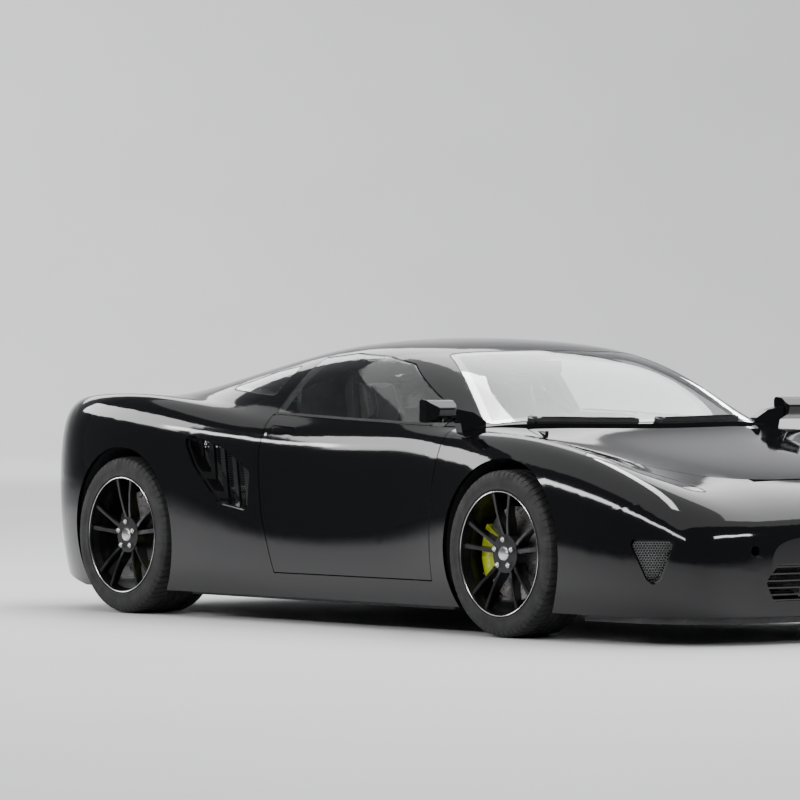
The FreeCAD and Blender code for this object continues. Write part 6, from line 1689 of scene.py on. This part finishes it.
def make_intake():
    """Inlet runners with clips, and air pipes from the plenum to the boxes at the sides."""
    runners = Shape()
    clips = Shape()
    pipes = Shape()
    rings = Shape()
    for side in (-1, 1):
        for i in range(4):
            path = bowed(to_side(RUNNER, side, -1.045 + 0.098 * i), 0.008)
            runners.tube(path, 0.0165, 14)
            clips.tube(path[:2], 0.0185, 14)
        path = bowed(to_side(AIR_PIPE, side), 0.006)
        for i in range(0, len(path) - 1, 3):
            rings.tube(path[i:i + 2], 0.0385, 20)
        pipes.tube(path, 0.0365, 20)
        middle = side * AIR_BOX_Y
        pipes.box((-1.06, middle - 0.08, 0.64), (-0.80, middle + 0.08, 0.76))
        pipes.prism(rounded(0.272, 0.172, 0.022), 0.008, (-0.93, middle, 0.716), AHEAD, LEFT)
        for k in range(-3, 4):
            rings.sweep([(x, middle + 0.020 * k, 0.7595) for x in (-1.035, -0.825)],
                        band(0.006, 0.005))
    runners.piece("intake_runners", "cast", sharp=50)
    clips.piece("runner_clips", "steel", sharp=50)
    pipes.piece("air_pipes", "plastic", bevel=0.006, sharp=40)
    rings.piece("air_pipe_ribs", "plastic", sharp=50)


def make_bay():
    """Coolant tank, brace over the engine and heat shield over the silencer."""
    tank = Shape()
    tank.box((-1.42, 0.33, 0.56), (-1.28, 0.47, 0.68))
    tank.prism(rounded(0.148, 0.148, 0.018), 0.005, (-1.35, 0.40, 0.618), AHEAD, LEFT)
    tank.lathe([(0, 0.030), (0.026, 0.028), (0.030, 0.024), (0.030, 0.0)],
               (-1.35, 0.40, 0.679), UP, 12)
    tank.piece("coolant_tank", "plastic", bevel=0.012, segments=3)
    brace = Shape()
    for side in (-1, 1):
        brace.tube(to_side(BRACE_BAR, side), BRACE_RADIUS, 14)
        brace.lathe([(0, 0.006), (0.030, 0.006), (0.034, 0.0), (0.034, -0.02), (0, -0.02)],
                    (-1.31, side * 0.508, 0.795), UP, 24)
        brace.tube(to_side(BRACE_END, side), BRACE_RADIUS, 14)
    brace.tube([(-1.305, -0.50, 0.80), (-1.305, 0.50, 0.80)], BRACE_RADIUS, 14)
    brace.piece("bay_brace", "gloss_plastic", sharp=40)
    shield = Shape()
    for i in range(9):
        y = -0.36 + 0.08 * i
        shield.box((-1.90, y, 0.528), (-1.46, y + 0.074, 0.534))
        shield.prism(rounded(0.40, 0.036, 0.017), 0.003, (-1.68, y + 0.037, 0.533), AHEAD, LEFT)
    shield.piece("heat_shield", "steel", bevel=0.002)


def rib_engine():
    """Fins on the plenum, ribs and bolts on the block and the gearbox."""
    skin = Skin("engine_block")

    def flat_parts(starts):
        return [(point, normal) for point, normal in skin.trace(starts, DOWN) if normal.z > 0.9]

    fins = Shape()
    for k in range(-4, 5):
        traced = flat_parts([(x / 100, 0.024 * k, 1.2) for x in range(-108, -71)])
        fins.follow([(p, n) for p, n in traced if p.z > 0.70], band(0.007, 0.006))
    fins.piece("plenum_fins", "crackle", bevel=0.0012)
    ribs = Shape()
    heads = Shape()
    for i in range(11):
        traced = flat_parts([(-1.16 - 0.06 * i, y / 100, 1.2) for y in range(-30, 31, 2)])
        level = traced[len(traced) // 2][0].z if traced else 0
        traced = [(p, n) for p, n in traced if abs(p.z - level) < 0.01]
        if len(traced) > 3:
            ribs.follow(traced, band(0.008, 0.007))
            for point, normal in (traced[0], traced[-1]):
                heads.lathe(GEARBOX_BOLT, point + Vector((0.03, 0, 0)), normal, 6)
    ribs.piece("gearbox_ribs", "cast", bevel=0.0015)
    heads.piece("gearbox_bolts", "steel", sharp=40)


def dress_engine():
    """Finishes of the block and the lids' undersides, and the pieces in the engine bay."""
    repaint("engine_block", "crackle",
            lambda centre, normal: centre.z > 0.692 and abs(centre.y) < 0.13)
    make_head_covers()
    make_intake()
    make_bay()
    rib_engine()
    for node in ("bonnet", "engine_cover"):
        repaint(node, "plastic", lambda centre, normal: normal.z < -0.2)


# Last update of the scene

def write_sizes():
    """Updates the view layer."""
    bpy.context.view_layer.update()


make_camera()
make_floor()
make_light()
finish_nodes()
dress_wheels()
dress_glass()
dress_headlamps()
dress_tail_lamps()
dress_grilles()
dress_mirrors()
dress_cowl()
dress_flanks()
dress_tail()
line_cabin()
make_seats()
make_belts()
make_steering_wheel()
make_dashboard()
make_console()
make_floor_trim()
make_door_cards()
dress_engine()
write_sizes()
